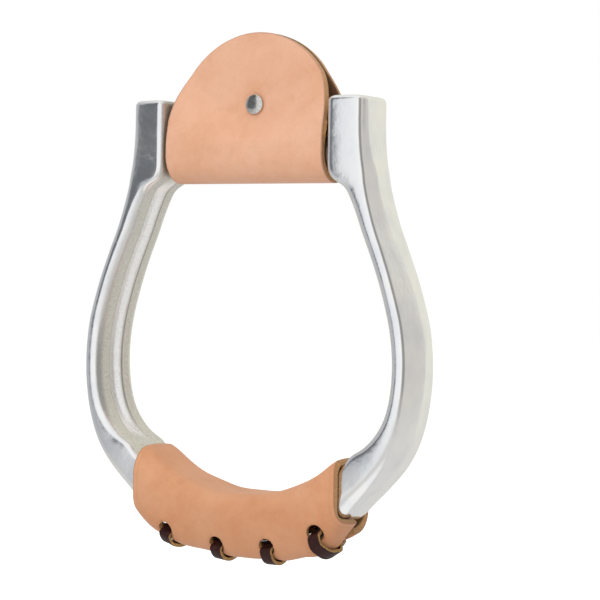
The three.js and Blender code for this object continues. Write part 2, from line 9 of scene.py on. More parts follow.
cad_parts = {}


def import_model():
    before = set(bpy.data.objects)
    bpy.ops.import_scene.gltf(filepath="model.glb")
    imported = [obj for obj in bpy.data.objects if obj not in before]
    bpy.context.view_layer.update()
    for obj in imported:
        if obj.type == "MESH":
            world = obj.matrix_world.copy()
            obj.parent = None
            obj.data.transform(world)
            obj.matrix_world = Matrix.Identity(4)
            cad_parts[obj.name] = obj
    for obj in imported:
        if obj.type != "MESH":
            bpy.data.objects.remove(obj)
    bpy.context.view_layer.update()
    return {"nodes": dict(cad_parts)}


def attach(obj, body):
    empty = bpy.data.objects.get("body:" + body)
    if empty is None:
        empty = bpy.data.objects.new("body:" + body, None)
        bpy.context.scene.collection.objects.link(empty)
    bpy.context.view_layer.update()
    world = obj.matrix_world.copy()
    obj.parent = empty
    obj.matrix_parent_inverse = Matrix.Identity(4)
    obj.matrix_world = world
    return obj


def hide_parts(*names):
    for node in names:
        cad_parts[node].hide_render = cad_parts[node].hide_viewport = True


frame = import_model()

MM = 0.001
ROUND_SIDES = 64  # sides of every turned piece

# Camera: the photograph's viewing angle, in millimetres and pixels
AZIMUTH, ELEVATION, ROLL = math.radians(31.0), math.radians(0.531), math.radians(0.97)
DISTANCE, FOCAL, IMAGE = 909.66, 2316.0, 600
TARGET = Vector((20.625, 0.0, -56.9))


def new_object(name, data):
    obj = bpy.data.objects.new(name, data)
    bpy.context.scene.collection.objects.link(obj)
    return obj


def make_camera():
    a, e, r = AZIMUTH, ELEVATION, ROLL
    back = Vector((math.sin(a) * math.cos(e), -math.cos(a) * math.cos(e), math.sin(e)))
    right0 = Vector((math.cos(a), math.sin(a), 0.0))
    up0 = back.cross(right0)
    right = right0 * math.cos(r) + up0 * math.sin(r)
    up = up0 * math.cos(r) - right0 * math.sin(r)
    data = bpy.data.cameras.new("photo_camera")
    data.sensor_width = 36.0
    data.lens = FOCAL / IMAGE * data.sensor_width
    data.clip_start, data.clip_end = 0.01, 20.0
    camera = new_object("photo_camera", data)
    turn = Matrix((right, up, back)).transposed().to_4x4()
    camera.matrix_world = Matrix.Translation((TARGET + DISTANCE * back) * MM) @ turn
    bpy.context.scene.camera = camera


make_camera()


# Small helpers
def mix(a, b, t):
    return a + (b - a) * t


def smooth(t):
    t = np.clip(t, 0.0, 1.0)
    return t * t * (3 - 2 * t)


def bell(distance, reach):
    return np.exp(-((distance / reach) ** 2))


def unit(v):
    return v / np.maximum(np.linalg.norm(v, axis=-1, keepdims=True), 1e-9)


def run_along(points):
    """Distance run at each point of a line."""
    return np.concatenate([[0], np.cumsum(np.linalg.norm(np.diff(points, axis=0), axis=1))])


def read_at(places, known, values):
    """Values at some places, on straight lines between those at the known places."""
    return np.stack([np.interp(places, known, column) for column in values.T], -1)


def catmull(points, t):
    """Centripetal Catmull-Rom curve through the points, t from 0 to 1 for all of them."""
    points = np.asarray(points, float)
    t = np.atleast_1d(np.asarray(t, float))
    n = len(points)
    ends = np.vstack([2 * points[0] - points[1], points, 2 * points[-1] - points[-2]])
    k = np.clip(np.floor((n - 1) * t).astype(int), 0, n - 2)
    w = ((n - 1) * t - k)[:, None]
    p0, p1, p2, p3 = ends[k], ends[k + 1], ends[k + 2], ends[k + 3]
    gap = lambda a, b: np.sum((a - b) ** 2, axis=1, keepdims=True) ** 0.25
    d0, d1, d2 = gap(p0, p1), gap(p1, p2), gap(p2, p3)
    d1 = np.where(d1 < 1e-4, 1.0, d1)
    d0 = np.where(d0 < 1e-4, d1, d0)
    d2 = np.where(d2 < 1e-4, d1, d2)
    m1 = ((p1 - p0) / d0 - (p2 - p0) / (d0 + d1) + (p2 - p1) / d1) * d1
    m2 = ((p2 - p1) / d1 - (p3 - p1) / (d1 + d2) + (p3 - p2) / d2) * d1
    return p1 + m1 * w + (3 * (p2 - p1) - 2 * m1 - m2) * w**2 + (2 * (p1 - p2) + m1 + m2) * w**3


def make_object(name, verts, faces, skin, marks=None, shade=True, turn_out=True):
    """A mesh object from points in millimetres, with one material and a float attribute for each mark."""
    data = bpy.data.meshes.new(name)
    data.from_pydata((np.asarray(verts) * MM).tolist(), [], [list(map(int, f)) for f in faces])
    data.materials.append(skin)
    data.polygons.foreach_set("use_smooth", np.full(len(data.polygons), shade))
    for key, values in (marks or {}).items():
        layer = data.attributes.new(key, "FLOAT", "POINT")
        layer.data.foreach_set("value", np.asarray(values, np.float32))
    data.update()
    obj = new_object(name, data)
    if turn_out:
        rework(obj, face_out)
    return obj


def rework(obj, action):
    """Does something to an object's mesh in bmesh."""
    work = bmesh.new()
    work.from_mesh(obj.data)
    action(work)
    work.to_mesh(obj.data)
    work.free()


def face_out(work):
    bmesh.ops.recalc_face_normals(work, faces=work.faces)


def drop_loose(work):
    bmesh.ops.delete(work, geom=[v for v in work.verts if not v.link_faces], context="VERTS")


def grid_faces(rows, cols, base=0, wrap=False):
    i = np.arange(rows - 1)[:, None]
    j = np.arange(cols if wrap else cols - 1)[None, :]
    nxt = (j + 1) % cols
    a = base + i * cols + j
    b = base + i * cols + nxt
    return np.stack([a, b, b + cols, a + cols], -1).reshape(-1, 4)


def tube(name, rings, skin, marks=None, shade=True):
    """Closed tube through rings of points, with a flat face at each end."""
    rows, cols, _ = rings.shape
    faces = grid_faces(rows, cols, wrap=True).tolist()
    faces += [list(range(cols)), list(range((rows - 1) * cols, rows * cols))]
    return make_object(name, rings.reshape(-1, 3), faces, skin, marks, shade)


def cut(obj, cutters):
    """Takes the cutters' space out of the object and removes them."""
    for cutter in cutters:
        step = obj.modifiers.new("cut", "BOOLEAN")
        step.operation, step.solver, step.object = "DIFFERENCE", "EXACT", cutter
    graph = bpy.context.evaluated_depsgraph_get()
    made = bpy.data.meshes.new_from_object(obj.evaluated_get(graph), depsgraph=graph)
    obj.modifiers.clear()
    obj.data = made
    for cutter in cutters:
        bpy.data.objects.remove(cutter)


def cylinder(name, radius, start, end, skin):
    """Closed cylinder along X between two places."""
    turn = np.linspace(0, 2 * np.pi, ROUND_SIDES, endpoint=False)
    ring = radius * np.stack([0 * turn, -np.cos(turn), -np.sin(turn)], -1)
    return tube(name, np.stack([ring + [start, 0, 0], ring + [end, 0, 0]]), skin, shade=False)


# Materials: the helpers below find the node tree from a socket, which knows it as its id_data
def material(name, metallic=0.0):
    m = bpy.data.materials.new(name)
    m.use_nodes = True
    tree = m.node_tree
    shader = tree.nodes["Principled BSDF"]
    shader.inputs["Metallic"].default_value = metallic
    return m, tree, shader


def finish_shader(shader, colour, rough, normal):
    for name, value in (("Base Color", colour), ("Roughness", rough), ("Normal", normal)):
        shader.id_data.links.new(value, shader.inputs[name])


def node(tree, kind, inputs=None, **values):
    made = tree.nodes.new("ShaderNode" + kind)
    for key, value in values.items():
        setattr(made, key, value)
    for key, value in (inputs or {}).items():
        if isinstance(value, bpy.types.NodeSocket):
            tree.links.new(value, made.inputs[key])
        else:
            made.inputs[key].default_value = value
    return made


def place(tree, scale=(1, 1, 1)):
    """Object coordinates in millimetres, times scale."""
    coords = node(tree, "TexCoord")
    scaled = node(tree, "Mapping", {"Vector": coords.outputs["Object"], "Scale": [s / MM for s in scale]})
    return scaled.outputs["Vector"]


def by_height(at, low, high, start=0.0, end=1.0):
    """Number that runs from start to end between two heights in millimetres."""
    height = node(at.id_data, "SeparateXYZ", {0: at}).outputs[2]
    inputs = {"Value": height, "From Min": low, "From Max": high, "To Min": start, "To Max": end}
    return node(at.id_data, "MapRange", inputs).outputs["Result"]


def noise_at(vector, scale, detail=3.0, rough=0.5, distortion=0.0):
    inputs = {"Vector": vector, "Scale": scale, "Detail": detail, "Roughness": rough}
    inputs["Distortion"] = distortion
    return node(vector.id_data, "TexNoise", inputs).outputs["Fac"]


def ramp(value, stops):
    """Colour ramp through stops of a place and a colour, or a single number for a grey."""
    made = node(value.id_data, "ValToRGB", {"Fac": value})
    while len(made.color_ramp.elements) < len(stops):
        made.color_ramp.elements.new(0.5)
    for element, (at, colour) in zip(made.color_ramp.elements, stops):
        element.position = at
        element.color = (*colour, 1.0) if hasattr(colour, "__len__") else (colour, colour, colour, 1.0)
    return made.outputs["Color"]


def math_node(operation, a, b=0.5, c=0.5):
    return node(a.id_data, "Math", {0: a, 1: b, 2: c}, operation=operation).outputs["Value"]


def blend_colour(factor, a, b, mode="MIX"):
    sockets = [v for v in (factor, a, b) if isinstance(v, bpy.types.NodeSocket)]
    inputs = {0: factor, 6: a, 7: b}
    return node(sockets[0].id_data, "Mix", inputs, data_type="RGBA", blend_type=mode).outputs[2]


def rgb(r, g, b):
    """Linear colour from sRGB numbers of 10 to 255."""
    return tuple(((c / 255 + 0.055) / 1.055) ** 2.4 for c in (r, g, b))


def bump(height, strength, distance, normal=None):
    """Bump from a height, with its distance in millimetres, on top of another bump's normal."""
    inputs = {"Height": height, "Strength": strength, "Distance": distance * MM}
    if normal is not None:
        inputs["Normal"] = normal
    return node(height.id_data, "Bump", inputs).outputs["Normal"]


def attribute(tree, name):
    return node(tree, "Attribute", attribute_name=name).outputs["Fac"]


def aluminum_material():
    """Hand-polished outside, dull as cast inside, with a pale sandy groove and painted shade, a dark line,
    along its lip.
    """
    m, tree, shader = material("aluminum", 1.0)
    at = place(tree)
    groove = attribute(tree, "groove")
    inside = attribute(tree, "inside")
    clouds = noise_at(at, 0.09, 4, 0.55)
    blotches = noise_at(at, 0.35, 3, 0.6)
    sand = noise_at(at, 1.6, 4, 0.7)
    lines = noise_at(place(tree, (1, 1, 0.06)), 3.0, 2, 0.5)
    polished_tones = [(0.3, (0.80, 0.805, 0.82)), (0.5, 0.86), (0.72, (0.90, 0.885, 0.86))]
    inside_tones = [(0.30, (0.50, 0.48, 0.43)), (0.5, (0.68, 0.66, 0.61)), (0.68, (0.80, 0.78, 0.73))]
    groove_tones = [(0.30, (0.74, 0.73, 0.71)), (0.44, (0.97, 0.97, 0.96)), (0.58, 1.0)]
    colour = blend_colour(inside, ramp(clouds, polished_tones), ramp(sand, inside_tones))
    colour = blend_colour(groove, colour, ramp(sand, groove_tones))
    # Painted shade: a near-black line along the groove's lip, taken from its mark
    painted_lip_shade = math_node("MULTIPLY", attribute(tree, "painted_lip_shade"), 0.8)
    colour = blend_colour(painted_lip_shade, colour, (0.16, 0.15, 0.14, 1.0))
    polish = math_node("MULTIPLY_ADD", blotches, 0.10, 0.09)
    unpolished = by_height(at, -17.0, -9.0, 0.27, 0.62)
    rough = node(tree, "Mix", {0: inside, 2: polish, 3: unpolished}, data_type="FLOAT").outputs[0]
    waves = bump(clouds, 0.35, 0.6)
    scratches = bump(lines, 0.10, 0.05, waves)
    grain_height = math_node("MULTIPLY", sand, math_node("MULTIPLY_ADD", groove, 0.6, inside))
    finish_shader(shader, colour, rough, bump(grain_height, 0.35, 0.4, scratches))
    return m


def plain_metal(name, stretch, noise, tones, rough, relief):
    """Metal with one noise for its tone, roughness and relief."""
    m, tree, shader = material(name, 1.0)
    marks = noise_at(place(tree, stretch), *noise)
    tone = ramp(marks, [(0.3, tones[0]), (0.7, tones[1])])
    polish = math_node("MULTIPLY_ADD", marks, *rough)
    finish_shader(shader, tone, polish, bump(marks, relief, 0.05))
    return m


def shifted(tone, r, g, b):
    return rgb(tone[0] + r, tone[1] + g, tone[2] + b)


def leather_material(name, tone, inside, low_shade=1.0, edge_line=1.0):
    """Leather of a tone outside and another inside, with painted shade low down, and darker along a line
    beside its edges.
    """
    m, tree, shader = material(name)
    at = place(tree)
    edge = attribute(tree, "edge")
    flesh = attribute(tree, "flesh")
    clouds = noise_at(at, 0.055, 3, 0.55, 0.4)
    mottle = noise_at(at, 0.3, 4, 0.6)
    grain = noise_at(at, 1.5, 4, 0.65)
    pores = node(tree, "TexVoronoi", {"Vector": at, "Scale": 1.3}).outputs["Distance"]
    tones = [(0.30, shifted(tone, -5, -8, -10)), (0.5, rgb(*tone)), (0.7, shifted(tone, 3, 6, 8))]
    face = ramp(clouds, tones)
    spot_tones = [(0.25, (0.90, 0.86, 0.82)), (0.5, 1.0), (0.8, (1.05, 1.06, 1.07))]
    fine = ramp(grain, [(0.3, (0.93, 0.91, 0.89)), (0.6, 1.02)])
    # Painted shade: the leather gets darker and more saturated towards the bottom, by low_shade
    low = by_height(at, -152.0, -126.0)
    painted_low_shade = ramp(low, [(0.0, (low_shade, low_shade**1.3, low_shade**1.6)), (1.0, 1.0)])
    from_edge = math_node("MULTIPLY", attribute(tree, "inward"), 0.25)
    stops = [(0.06, 0.66), (0.17, 1.0), (0.47, 1.0), (0.52, edge_line), (0.57, 1.0)]
    worn = ramp(from_edge, stops)
    for strength, tint in ((0.45, ramp(mottle, spot_tones)), (0.6, fine), (1.0, painted_low_shade), (1.0, worn)):
        face = blend_colour(strength, face, tint, "MULTIPLY")
    fibres = noise_at(at, 2.2, 4, 0.7)
    back = ramp(fibres, [(0.3, shifted(inside, -14, -14, -12)), (0.7, shifted(inside, 14, 14, 12))])
    edge_tones = [(0.3, rgb(144, 98, 54)), (0.5, rgb(192, 142, 90)), (0.7, rgb(216, 172, 120))]
    colour = blend_colour(flesh, face, back)
    colour = blend_colour(edge, colour, ramp(fibres, edge_tones))
    rough = math_node("MULTIPLY_ADD", mottle, 0.2, 0.45)
    shader.inputs["Specular IOR Level"].default_value = 0.35
    shader.inputs["Sheen Weight"].default_value = 0.05
    relief = bump(pores, 0.12, 0.12)
    relief = bump(grain, 0.25, 0.10, relief)
    relief = bump(worn, 0.5, 0.3, relief)
    rise = math_node("MULTIPLY", fibres, math_node("MAXIMUM", edge, flesh))
    finish_shader(shader, colour, rough, bump(rise, 0.6, 0.25, relief))
    return m


def latigo_material():
    """Dark oiled lace with paler cut edges."""
    m, tree, shader = material("latigo")
    at = place(tree)
    mottle = noise_at(at, 0.7, 4, 0.6)
    grain = noise_at(at, 2.4, 3, 0.6)
    face = ramp(mottle, [(0.3, rgb(34, 12, 10)), (0.55, rgb(50, 20, 16)), (0.8, rgb(76, 38, 30))])
    rim = ramp(grain, [(0.3, rgb(120, 84, 48)), (0.7, rgb(196, 160, 104))])
    colour = blend_colour(attribute(tree, "edge"), face, rim)
    rough = math_node("MULTIPLY_ADD", mottle, 0.25, 0.42)
    shader.inputs["Specular IOR Level"].default_value = 0.22
    finish_shader(shader, colour, rough, bump(grain, 0.35, 0.12))
    return m


ALUMINUM = aluminum_material()
# Drawn steel rod with fine lines along it, and bright nickel plate with light wear
STEEL_TONES, NICKEL_TONES = ((0.42, 0.41, 0.39), (0.62, 0.61, 0.59)), ((0.55, 0.53, 0.49), (0.74, 0.72, 0.67))
STEEL = plain_metal("bar_steel", (0.08, 1, 1), (2.5, 3, 0.6), STEEL_TONES, (0.2, 0.25), 0.3)
NICKEL = plain_metal("nickel", (1, 1, 1), (1.2, 4, 0.6), NICKEL_TONES, (0.08, 0.06), 0.25)
# The neck leather's flesh side is dark brown, darker than the tread's, as painted shade in the gap between
# its layers
NECK_SKIN = leather_material("neck_leather", (227, 174, 142), (104, 70, 46))
# 0.86 is the tread leather's painted shade low down, 0.84 its darker line beside the edges
TREAD_SKIN = leather_material("tread_leather", (217, 157, 117), (150, 108, 70), 0.86, 0.84)
LATIGO = latigo_material()

# Frame casting: the same stations as the solid, sampled finely
NECK_HALF, INNER_HALF, INNER_DROP = 38.1, 67.6, 137.0
HEAD_RISE, HEAD_DROP, HEAD_TOP_ROUND, SHOULDER = 22.3, 11.4, 2.2, 7.0
HEAD = {"thick": 14.4, "depth": 23.8, "inner": 1.8, "outer": 1.3}
ARM = {"thick": 7.0, "depth": 27.2, "inner": 1.9, "outer": 1.2}
TREAD = {"thick": 15.5, "depth": 26.4, "inner": 5.0, "outer": 7.0}
CREASE_RISE, GROOVE_DEPTH, GROOVE_HALF = 0.8, 2.8, 4.2
GROOVE_FLOOR = 0.3  # share of the groove's width that is flat floor
SAND_SHARP, SAND_GAIN = 6, 1.4  # how sharply the groove's sandy tone ends at the lip, and how soon it is full
# Painted shade beside the groove's lip, a dark line, as shares of the groove's width, and how much of it the
# front side has
LIP_SHADE_AT, LIP_SHADE_REACH, FRONT_LIP_SHADE = 0.985, 0.03, 0.25
# Stations down the casting: place across and down, lean in degrees, thickness, depth, strength of the
# groove, the crease's place across, and the size of the inner and outer edges, all but the lean as shares
HEAD_STATIONS = [
    (0, 1, 0, 0.995, 1, 0, -0.56, 1, 1),
    (0, 0.4, 0, 1.003, 1, 0, -0.5, 1, 1),
    (0, -0.1, 0, 1.055, 1, 0, -0.36, 1, 1),
    (0, -0.44, 0, 1.1, 1, 0, -0.18, 1, 1),
    (0.1, -0.72, 1, 1.087, 1.005, 0, -0.12, 1, 1),
    (0.36, -0.93, 4, 0.98, 1.01, 0.3, -0.12, 1, 1),
]
ARM_STATIONS = [
    (0.25, 0.0905, 9, 1.353, 0.87, 0.7, -0.11, 1, 1),
    (0.307, 0.117, 15, 1.225, 0.873, 0.95, -0.09, 1, 1),
    (0.378, 0.15, 19, 1.095, 0.88, 1, -0.04, 1, 1),
    (0.507, 0.222, 21, 0.995, 0.895, 1, 0.06, 1, 1),
    (0.662, 0.299, 20.5, 0.945, 0.913, 1, 0.18, 1, 1),
    (0.812, 0.385, 17, 0.93, 0.935, 1, 0.28, 1, 1),
    (0.955, 0.5, 9.5, 0.955, 0.945, 1, 0.33, 1, 1),
    (1, 0.607, -1, 0.94, 0.958, 1, 0.3, 1, 1.1),
    (0.957, 0.7, -15, 0.97, 0.98, 1, 0.25, 1, 1.3),
    (0.865, 0.757, -28, 1.14, 0.99, 0.9, 0.18, 1, 1.6),
    (0.737, 0.8, -37, 1.38, 1, 0.6, 0.1, 1, 2),
    (0.592, 0.829, -46, 1.655, 1, 0.2, 0.05, 1, 2.4),
    (0.436, 0.848, -53, 1.965, 0.995, 0, 0, 1.1, 2.9),
]
TREAD_STATIONS = [
    (0.718, 0.875, -55, 0.85, 1.01, 0, 0, 0.36, 0.6),
    (0.656, 0.895, -57, 0.925, 1, 0, 0, 0.42, 0.7),
    (0.561, 0.926, -65, 1.075, 1, 0, 0, 0.7, 0.9),
    (0.41, 0.962, -73, 1.07, 1, 0, 0, 1, 1),
    (0.21, 0.991, -82, 1.02, 1, 0, 0, 1, 1),
    (0, 1, -90, 1, 1, 0, 0, 1, 1),
]
# Share of the way down the casting over which the crease and the soft edges fade out
CREASE_FADE = (0.62, 0.8)
# Distance down the casting at which the head's section starts to turn into the arm's, and its reach
ARM_START, ARM_REACH = 24.0, 26.0
# Rounding of the inner edges, worn and polished: the heads, the arms, and where the arms meet the tread
HEAD_SOFT, ARM_SOFT, END_SOFT = 2.4, 3.6, 1.6
HEAD_CORNER, ARM_CORNER = 1.7, 1.4  # least rounding of the outer edges
HEAD_BULGE, ARM_BULGE, END_BULGE = 0.35, 0.7, 0.2  # crown of the faces, and what is left of it at the tread
HEAD_FACE_SLOPE = math.tan(math.radians(4.0))
RIDGE_SOFT = 0.16  # how blunt the crease on the outer face is
# Points across half a section: the groove, the land beside it, the inner edge, the face, the outer edge
GROOVE_STEPS, LAND_STEPS, EDGE_STEPS, FACE_STEPS, BACK_STEPS = 16, 4, 12, 10, 8
INSIDE_FADE_STEPS = 9  # points of the inner edge over which the cast surface turns into the polished one
RIDGE_STEPS = 24  # points across the outer face
CAP_STEPS = 9  # sections round the edge of a head's top
CAP_INSETS = (3.4, 5.0, 6.4)  # sections that close a head's top
BAR_RADIUS, BAR_GAP, SOCKET_DEPTH = 8.0, 0.3, 8.0
CUT_OVERRUN = 2.0


def station_rows():
    rows = []
    for across, down, *rest in HEAD_STATIONS:
        z = down * (HEAD_RISE - HEAD_TOP_ROUND) if down > 0 else down * HEAD_DROP
        rows.append((NECK_HALF + across * SHOULDER, z, HEAD, rest))
    for across, down, *rest in ARM_STATIONS:
        rows.append((mix(NECK_HALF, INNER_HALF, across), -down * INNER_DROP, ARM, rest))
    for across, down, *rest in TREAD_STATIONS:
        rows.append((across * INNER_HALF, -down * INNER_DROP, TREAD, rest))
    inner, outer, edges, marks = [], [], [], []
    for x, z, part, (lean, thick, depth, groove, crease, inner_edge, outer_edge) in rows:
        angle, width = math.radians(lean), thick * part["thick"]
        inner.append((x, 0, z))
        outer.append((x + width * math.cos(angle), 0, z + width * math.sin(angle)))
        edges.append((inner_edge * part["inner"], outer_edge * part["outer"], depth * part["depth"]))
        marks.append((groove, crease, 0))
    beyond = [inner, outer, edges, marks]
    for k, column in enumerate(beyond):
        x, y, z = column[-2]
        column.append((-x, y, z) if k < 2 else (x, y, z))
    return [np.array(column, float) for column in beyond]


INNER_ROW, OUTER_ROW, EDGE_ROW, MARK_ROW = station_rows()
GUIDE_END = (len(INNER_ROW) - 2) / (len(INNER_ROW) - 1)
GUIDE_SAMPLES = 1600
RING_STEP = 0.7  # millimetres between the casting's sections
SMOOTHING = 1.8  # millimetres, over which the sections are evened out


def casting_sections():
    """Inner and outer points, edges and marks of the sections from the head's top to the tread's middle."""
    places = np.linspace(0, 1, GUIDE_SAMPLES)
    t = places * GUIDE_END
    curves = [catmull(row, t) for row in (INNER_ROW, OUTER_ROW, EDGE_ROW, MARK_ROW)]
    middle = (curves[0] + curves[1]) / 2
    run = run_along(middle)
    count = int(run[-1] / RING_STEP)
    even = np.linspace(0, run[-1], count + 1)
    columns = [read_at(even, run, c) for c in curves]
    where = np.interp(even, run, places)
    fade = 1 - np.clip((where - CREASE_FADE[0]) / (CREASE_FADE[1] - CREASE_FADE[0]), 0, 1)
    columns.append(np.stack([fade, where, even], -1))
    reach = int(4 * SMOOTHING / (even[1] - even[0]))
    weights = np.exp(-0.5 * (np.arange(-reach, reach + 1) * (even[1] - even[0]) / SMOOTHING) ** 2)
    weights /= weights.sum()
    smoothed = []
    for k, c in enumerate(columns):
        head = 2 * c[0] - c[1 : reach + 1][::-1]
        flip = np.array([-1, 1, 1]) if k < 2 else np.array([1, 1, 1])
        tail = c[-reach - 1 : -1][::-1] * flip
        padded = np.vstack([head, c, tail])
        smoothed.append(np.stack([np.convolve(padded[:, i], weights, "valid") for i in range(3)], -1))
    return smoothed


def between(steps):
    """Even shares inside 0 to 1, without the ends, as a row."""
    return np.linspace(0, 1, steps + 2)[None, 1:-1]


def quarter(steps):
    """Even angles over a quarter turn, as a row."""
    return np.linspace(0, np.pi / 2, steps)[None, :]


def section_outlines(inner, outer, edges, marks, facts, inset=0.0):
    """Closed outlines of all the sections: each point's place, then its groove, inside and painted lip shade
    marks.
    """
    thick = np.linalg.norm(outer - inner, axis=1)[:, None]
    half = edges[:, 2:3] / 2
    groove, crease = marks[:, 0:1], marks[:, 1:2]
    fade = facts[:, 0:1]
    run = facts[:, 2:3]
    armness = smooth((run - ARM_START) / ARM_REACH)
    inner_edge = np.maximum(edges[:, 0:1], mix(END_SOFT, mix(HEAD_SOFT, ARM_SOFT, armness), fade**2))
    outer_edge = np.maximum(edges[:, 1:2], mix(HEAD_CORNER, ARM_CORNER, armness))
    bulge = mix(HEAD_BULGE, ARM_BULGE, armness) * mix(END_BULGE, 1.0, fade)
    slope = mix(HEAD_FACE_SLOPE, 0.0, armness)

    def dip(radius, way):
        inside = np.clip(radius - way, 0, radius)
        return radius - np.sqrt(np.maximum(radius**2 - inside**2, 0))

    def face(across):
        centred = 2 * across / thick - 1
        flat = half - bulge * centred**2 + slope * (thick / 2 - across)
        return flat - dip(inner_edge, across) - dip(outer_edge, thick - across)

    one = np.ones_like(thick)
    w = np.sin(quarter(GROOVE_STEPS))
    deep = 1 - smooth((w - GROOVE_FLOOR) / (1 - GROOVE_FLOOR))
    land = mix(GROOVE_HALF, face(0 * one), between(LAND_STEPS))
    edge = inner_edge * (1 - np.cos(quarter(EDGE_STEPS)))
    side = mix(inner_edge, thick - outer_edge, between(FACE_STEPS))
    back = thick - outer_edge * (1 - np.sin(quarter(BACK_STEPS)))
    across = np.hstack([deep * groove * GROOVE_DEPTH, 0 * land, edge, side, back])
    out = np.hstack([w * GROOVE_HALF * one, land, face(edge), face(side), face(back)])
    smooth_steps = across.shape[1] - GROOVE_STEPS
    plain = np.zeros((len(thick), smooth_steps))
    hollow = np.hstack([(1 - w**SAND_SHARP) * np.clip(groove * SAND_GAIN, 0, 1), plain])
    # Mark for the painted shade along the groove's lip, weaker on the front side
    lip = np.hstack([bell(w - LIP_SHADE_AT, LIP_SHADE_REACH) * np.clip(groove, 0, 1), plain])
    fading = np.linspace(1, 0, INSIDE_FADE_STEPS)
    polished = np.zeros(smooth_steps - LAND_STEPS - INSIDE_FADE_STEPS)
    inside = np.concatenate([np.ones(GROOVE_STEPS + LAND_STEPS), fading, polished]) * one
    corner = face(thick)
    y = mix(1, -1, between(RIDGE_STEPS)) * corner
    crest = crease * half
    top = np.where(y > crest, (corner - y) / (corner - crest), (y + corner) / (crest + corner))
    blunt = np.sqrt((1 - top) ** 2 + RIDGE_SOFT**2) - RIDGE_SOFT
    tent = 1 - blunt / (math.sqrt(1 + RIDGE_SOFT**2) - RIDGE_SOFT)
    ridge = thick + CREASE_RISE * fade * tent
    ring_across = np.hstack([across[:, ::-1], across[:, 1:], ridge])
    ring_out = np.hstack([-out[:, ::-1], out[:, 1:], y])
    both = ((hollow, hollow), (inside, inside), (FRONT_LIP_SHADE * lip, lip))
    masks = [np.hstack([front[:, ::-1], back[:, 1:], 0 * ridge]) for front, back in both]
    inset = np.reshape(inset, (-1, 1))
    ring_across = thick / 2 + (ring_across - thick / 2) * (1 - 2 * inset / thick)
    ring_out = ring_out * (1 - inset / half)
    direction = unit(outer - inner)
    points = inner[:, None] + ring_across[:, :, None] * direction[:, None]
    points[:, :, 1] = ring_out
    return np.concatenate([points, np.stack(masks, -1)], -1)


def frame_casting():
    sections = casting_sections()
    turn = np.linspace(0, np.pi / 2, CAP_STEPS + 1)[1:]
    insets = np.concatenate([HEAD_TOP_ROUND * (1 - np.cos(turn)), CAP_INSETS])
    rises = np.concatenate([HEAD_TOP_ROUND * np.sin(turn), [HEAD_TOP_ROUND] * len(CAP_INSETS)])
    first = [np.repeat(column[:1], len(insets), axis=0) for column in sections]
    top = section_outlines(*first, inset=insets)
    top[:, :, 2] += rises[:, None]
    half = np.concatenate([top[::-1], section_outlines(*sections)])
    whole = np.concatenate([half, half[:-1][::-1] * np.array([-1, 1, 1, 1, 1, 1])])
    rows, cols, _ = whole.shape
    faces = grid_faces(rows, cols, wrap=True).tolist()
    base, last = rows * cols, (rows - 1) * cols
    for j in range(cols):
        nxt = (j + 1) % cols
        faces.append([base, nxt, j])
        faces.append([base + 1, last + j, last + nxt])
    ends = [ring.mean(0) * np.array([1, 1, 1, 0, 0, 0]) for ring in (whole[0], whole[-1])]
    values = np.vstack([whole.reshape(-1, 6), ends])
    # The third mark is the painted shade along the groove's lip
    marks = dict(zip(("groove", "inside", "painted_lip_shade"), values[:, 3:].T))
    obj = make_object("frame_casting_fine", values[:, :3], faces, ALUMINUM, marks)
    cutters = []
    for side in (1, -1):
        start, end = side * (NECK_HALF - CUT_OVERRUN), side * (NECK_HALF + SOCKET_DEPTH)
        cutters.append(cylinder("socket_cutter", BAR_RADIUS + BAR_GAP, start, end, ALUMINUM))
    cut(obj, cutters)
    return obj


# Leather: a thick sheet over a grid of middle points
EDGE_ROUND = 0.45
HOLE_DEPTH = 4.0  # how far from its middle a hole looks for leather, so that it leaves the other side whole
FAR = 1000.0


def grid_normals(grid):
    return unit(np.cross(np.gradient(grid, axis=0), np.gradient(grid, axis=1)))


def border_of(cells, total):
    """Directed edges of the cells that no other cell shares."""
    edges = np.concatenate([cells[:, [k, (k + 1) % 4]] for k in range(4)])
    forward = edges[:, 0] * total + edges[:, 1]
    backward = edges[:, 1] * total + edges[:, 0]
    return edges[~np.isin(forward, backward)]


def distance_to(points, targets):
    tree = KDTree(len(targets))
    for k, p in enumerate(targets):
        tree.insert(p, k)
    tree.balance()
    return np.array([tree.find(p)[2] for p in points])


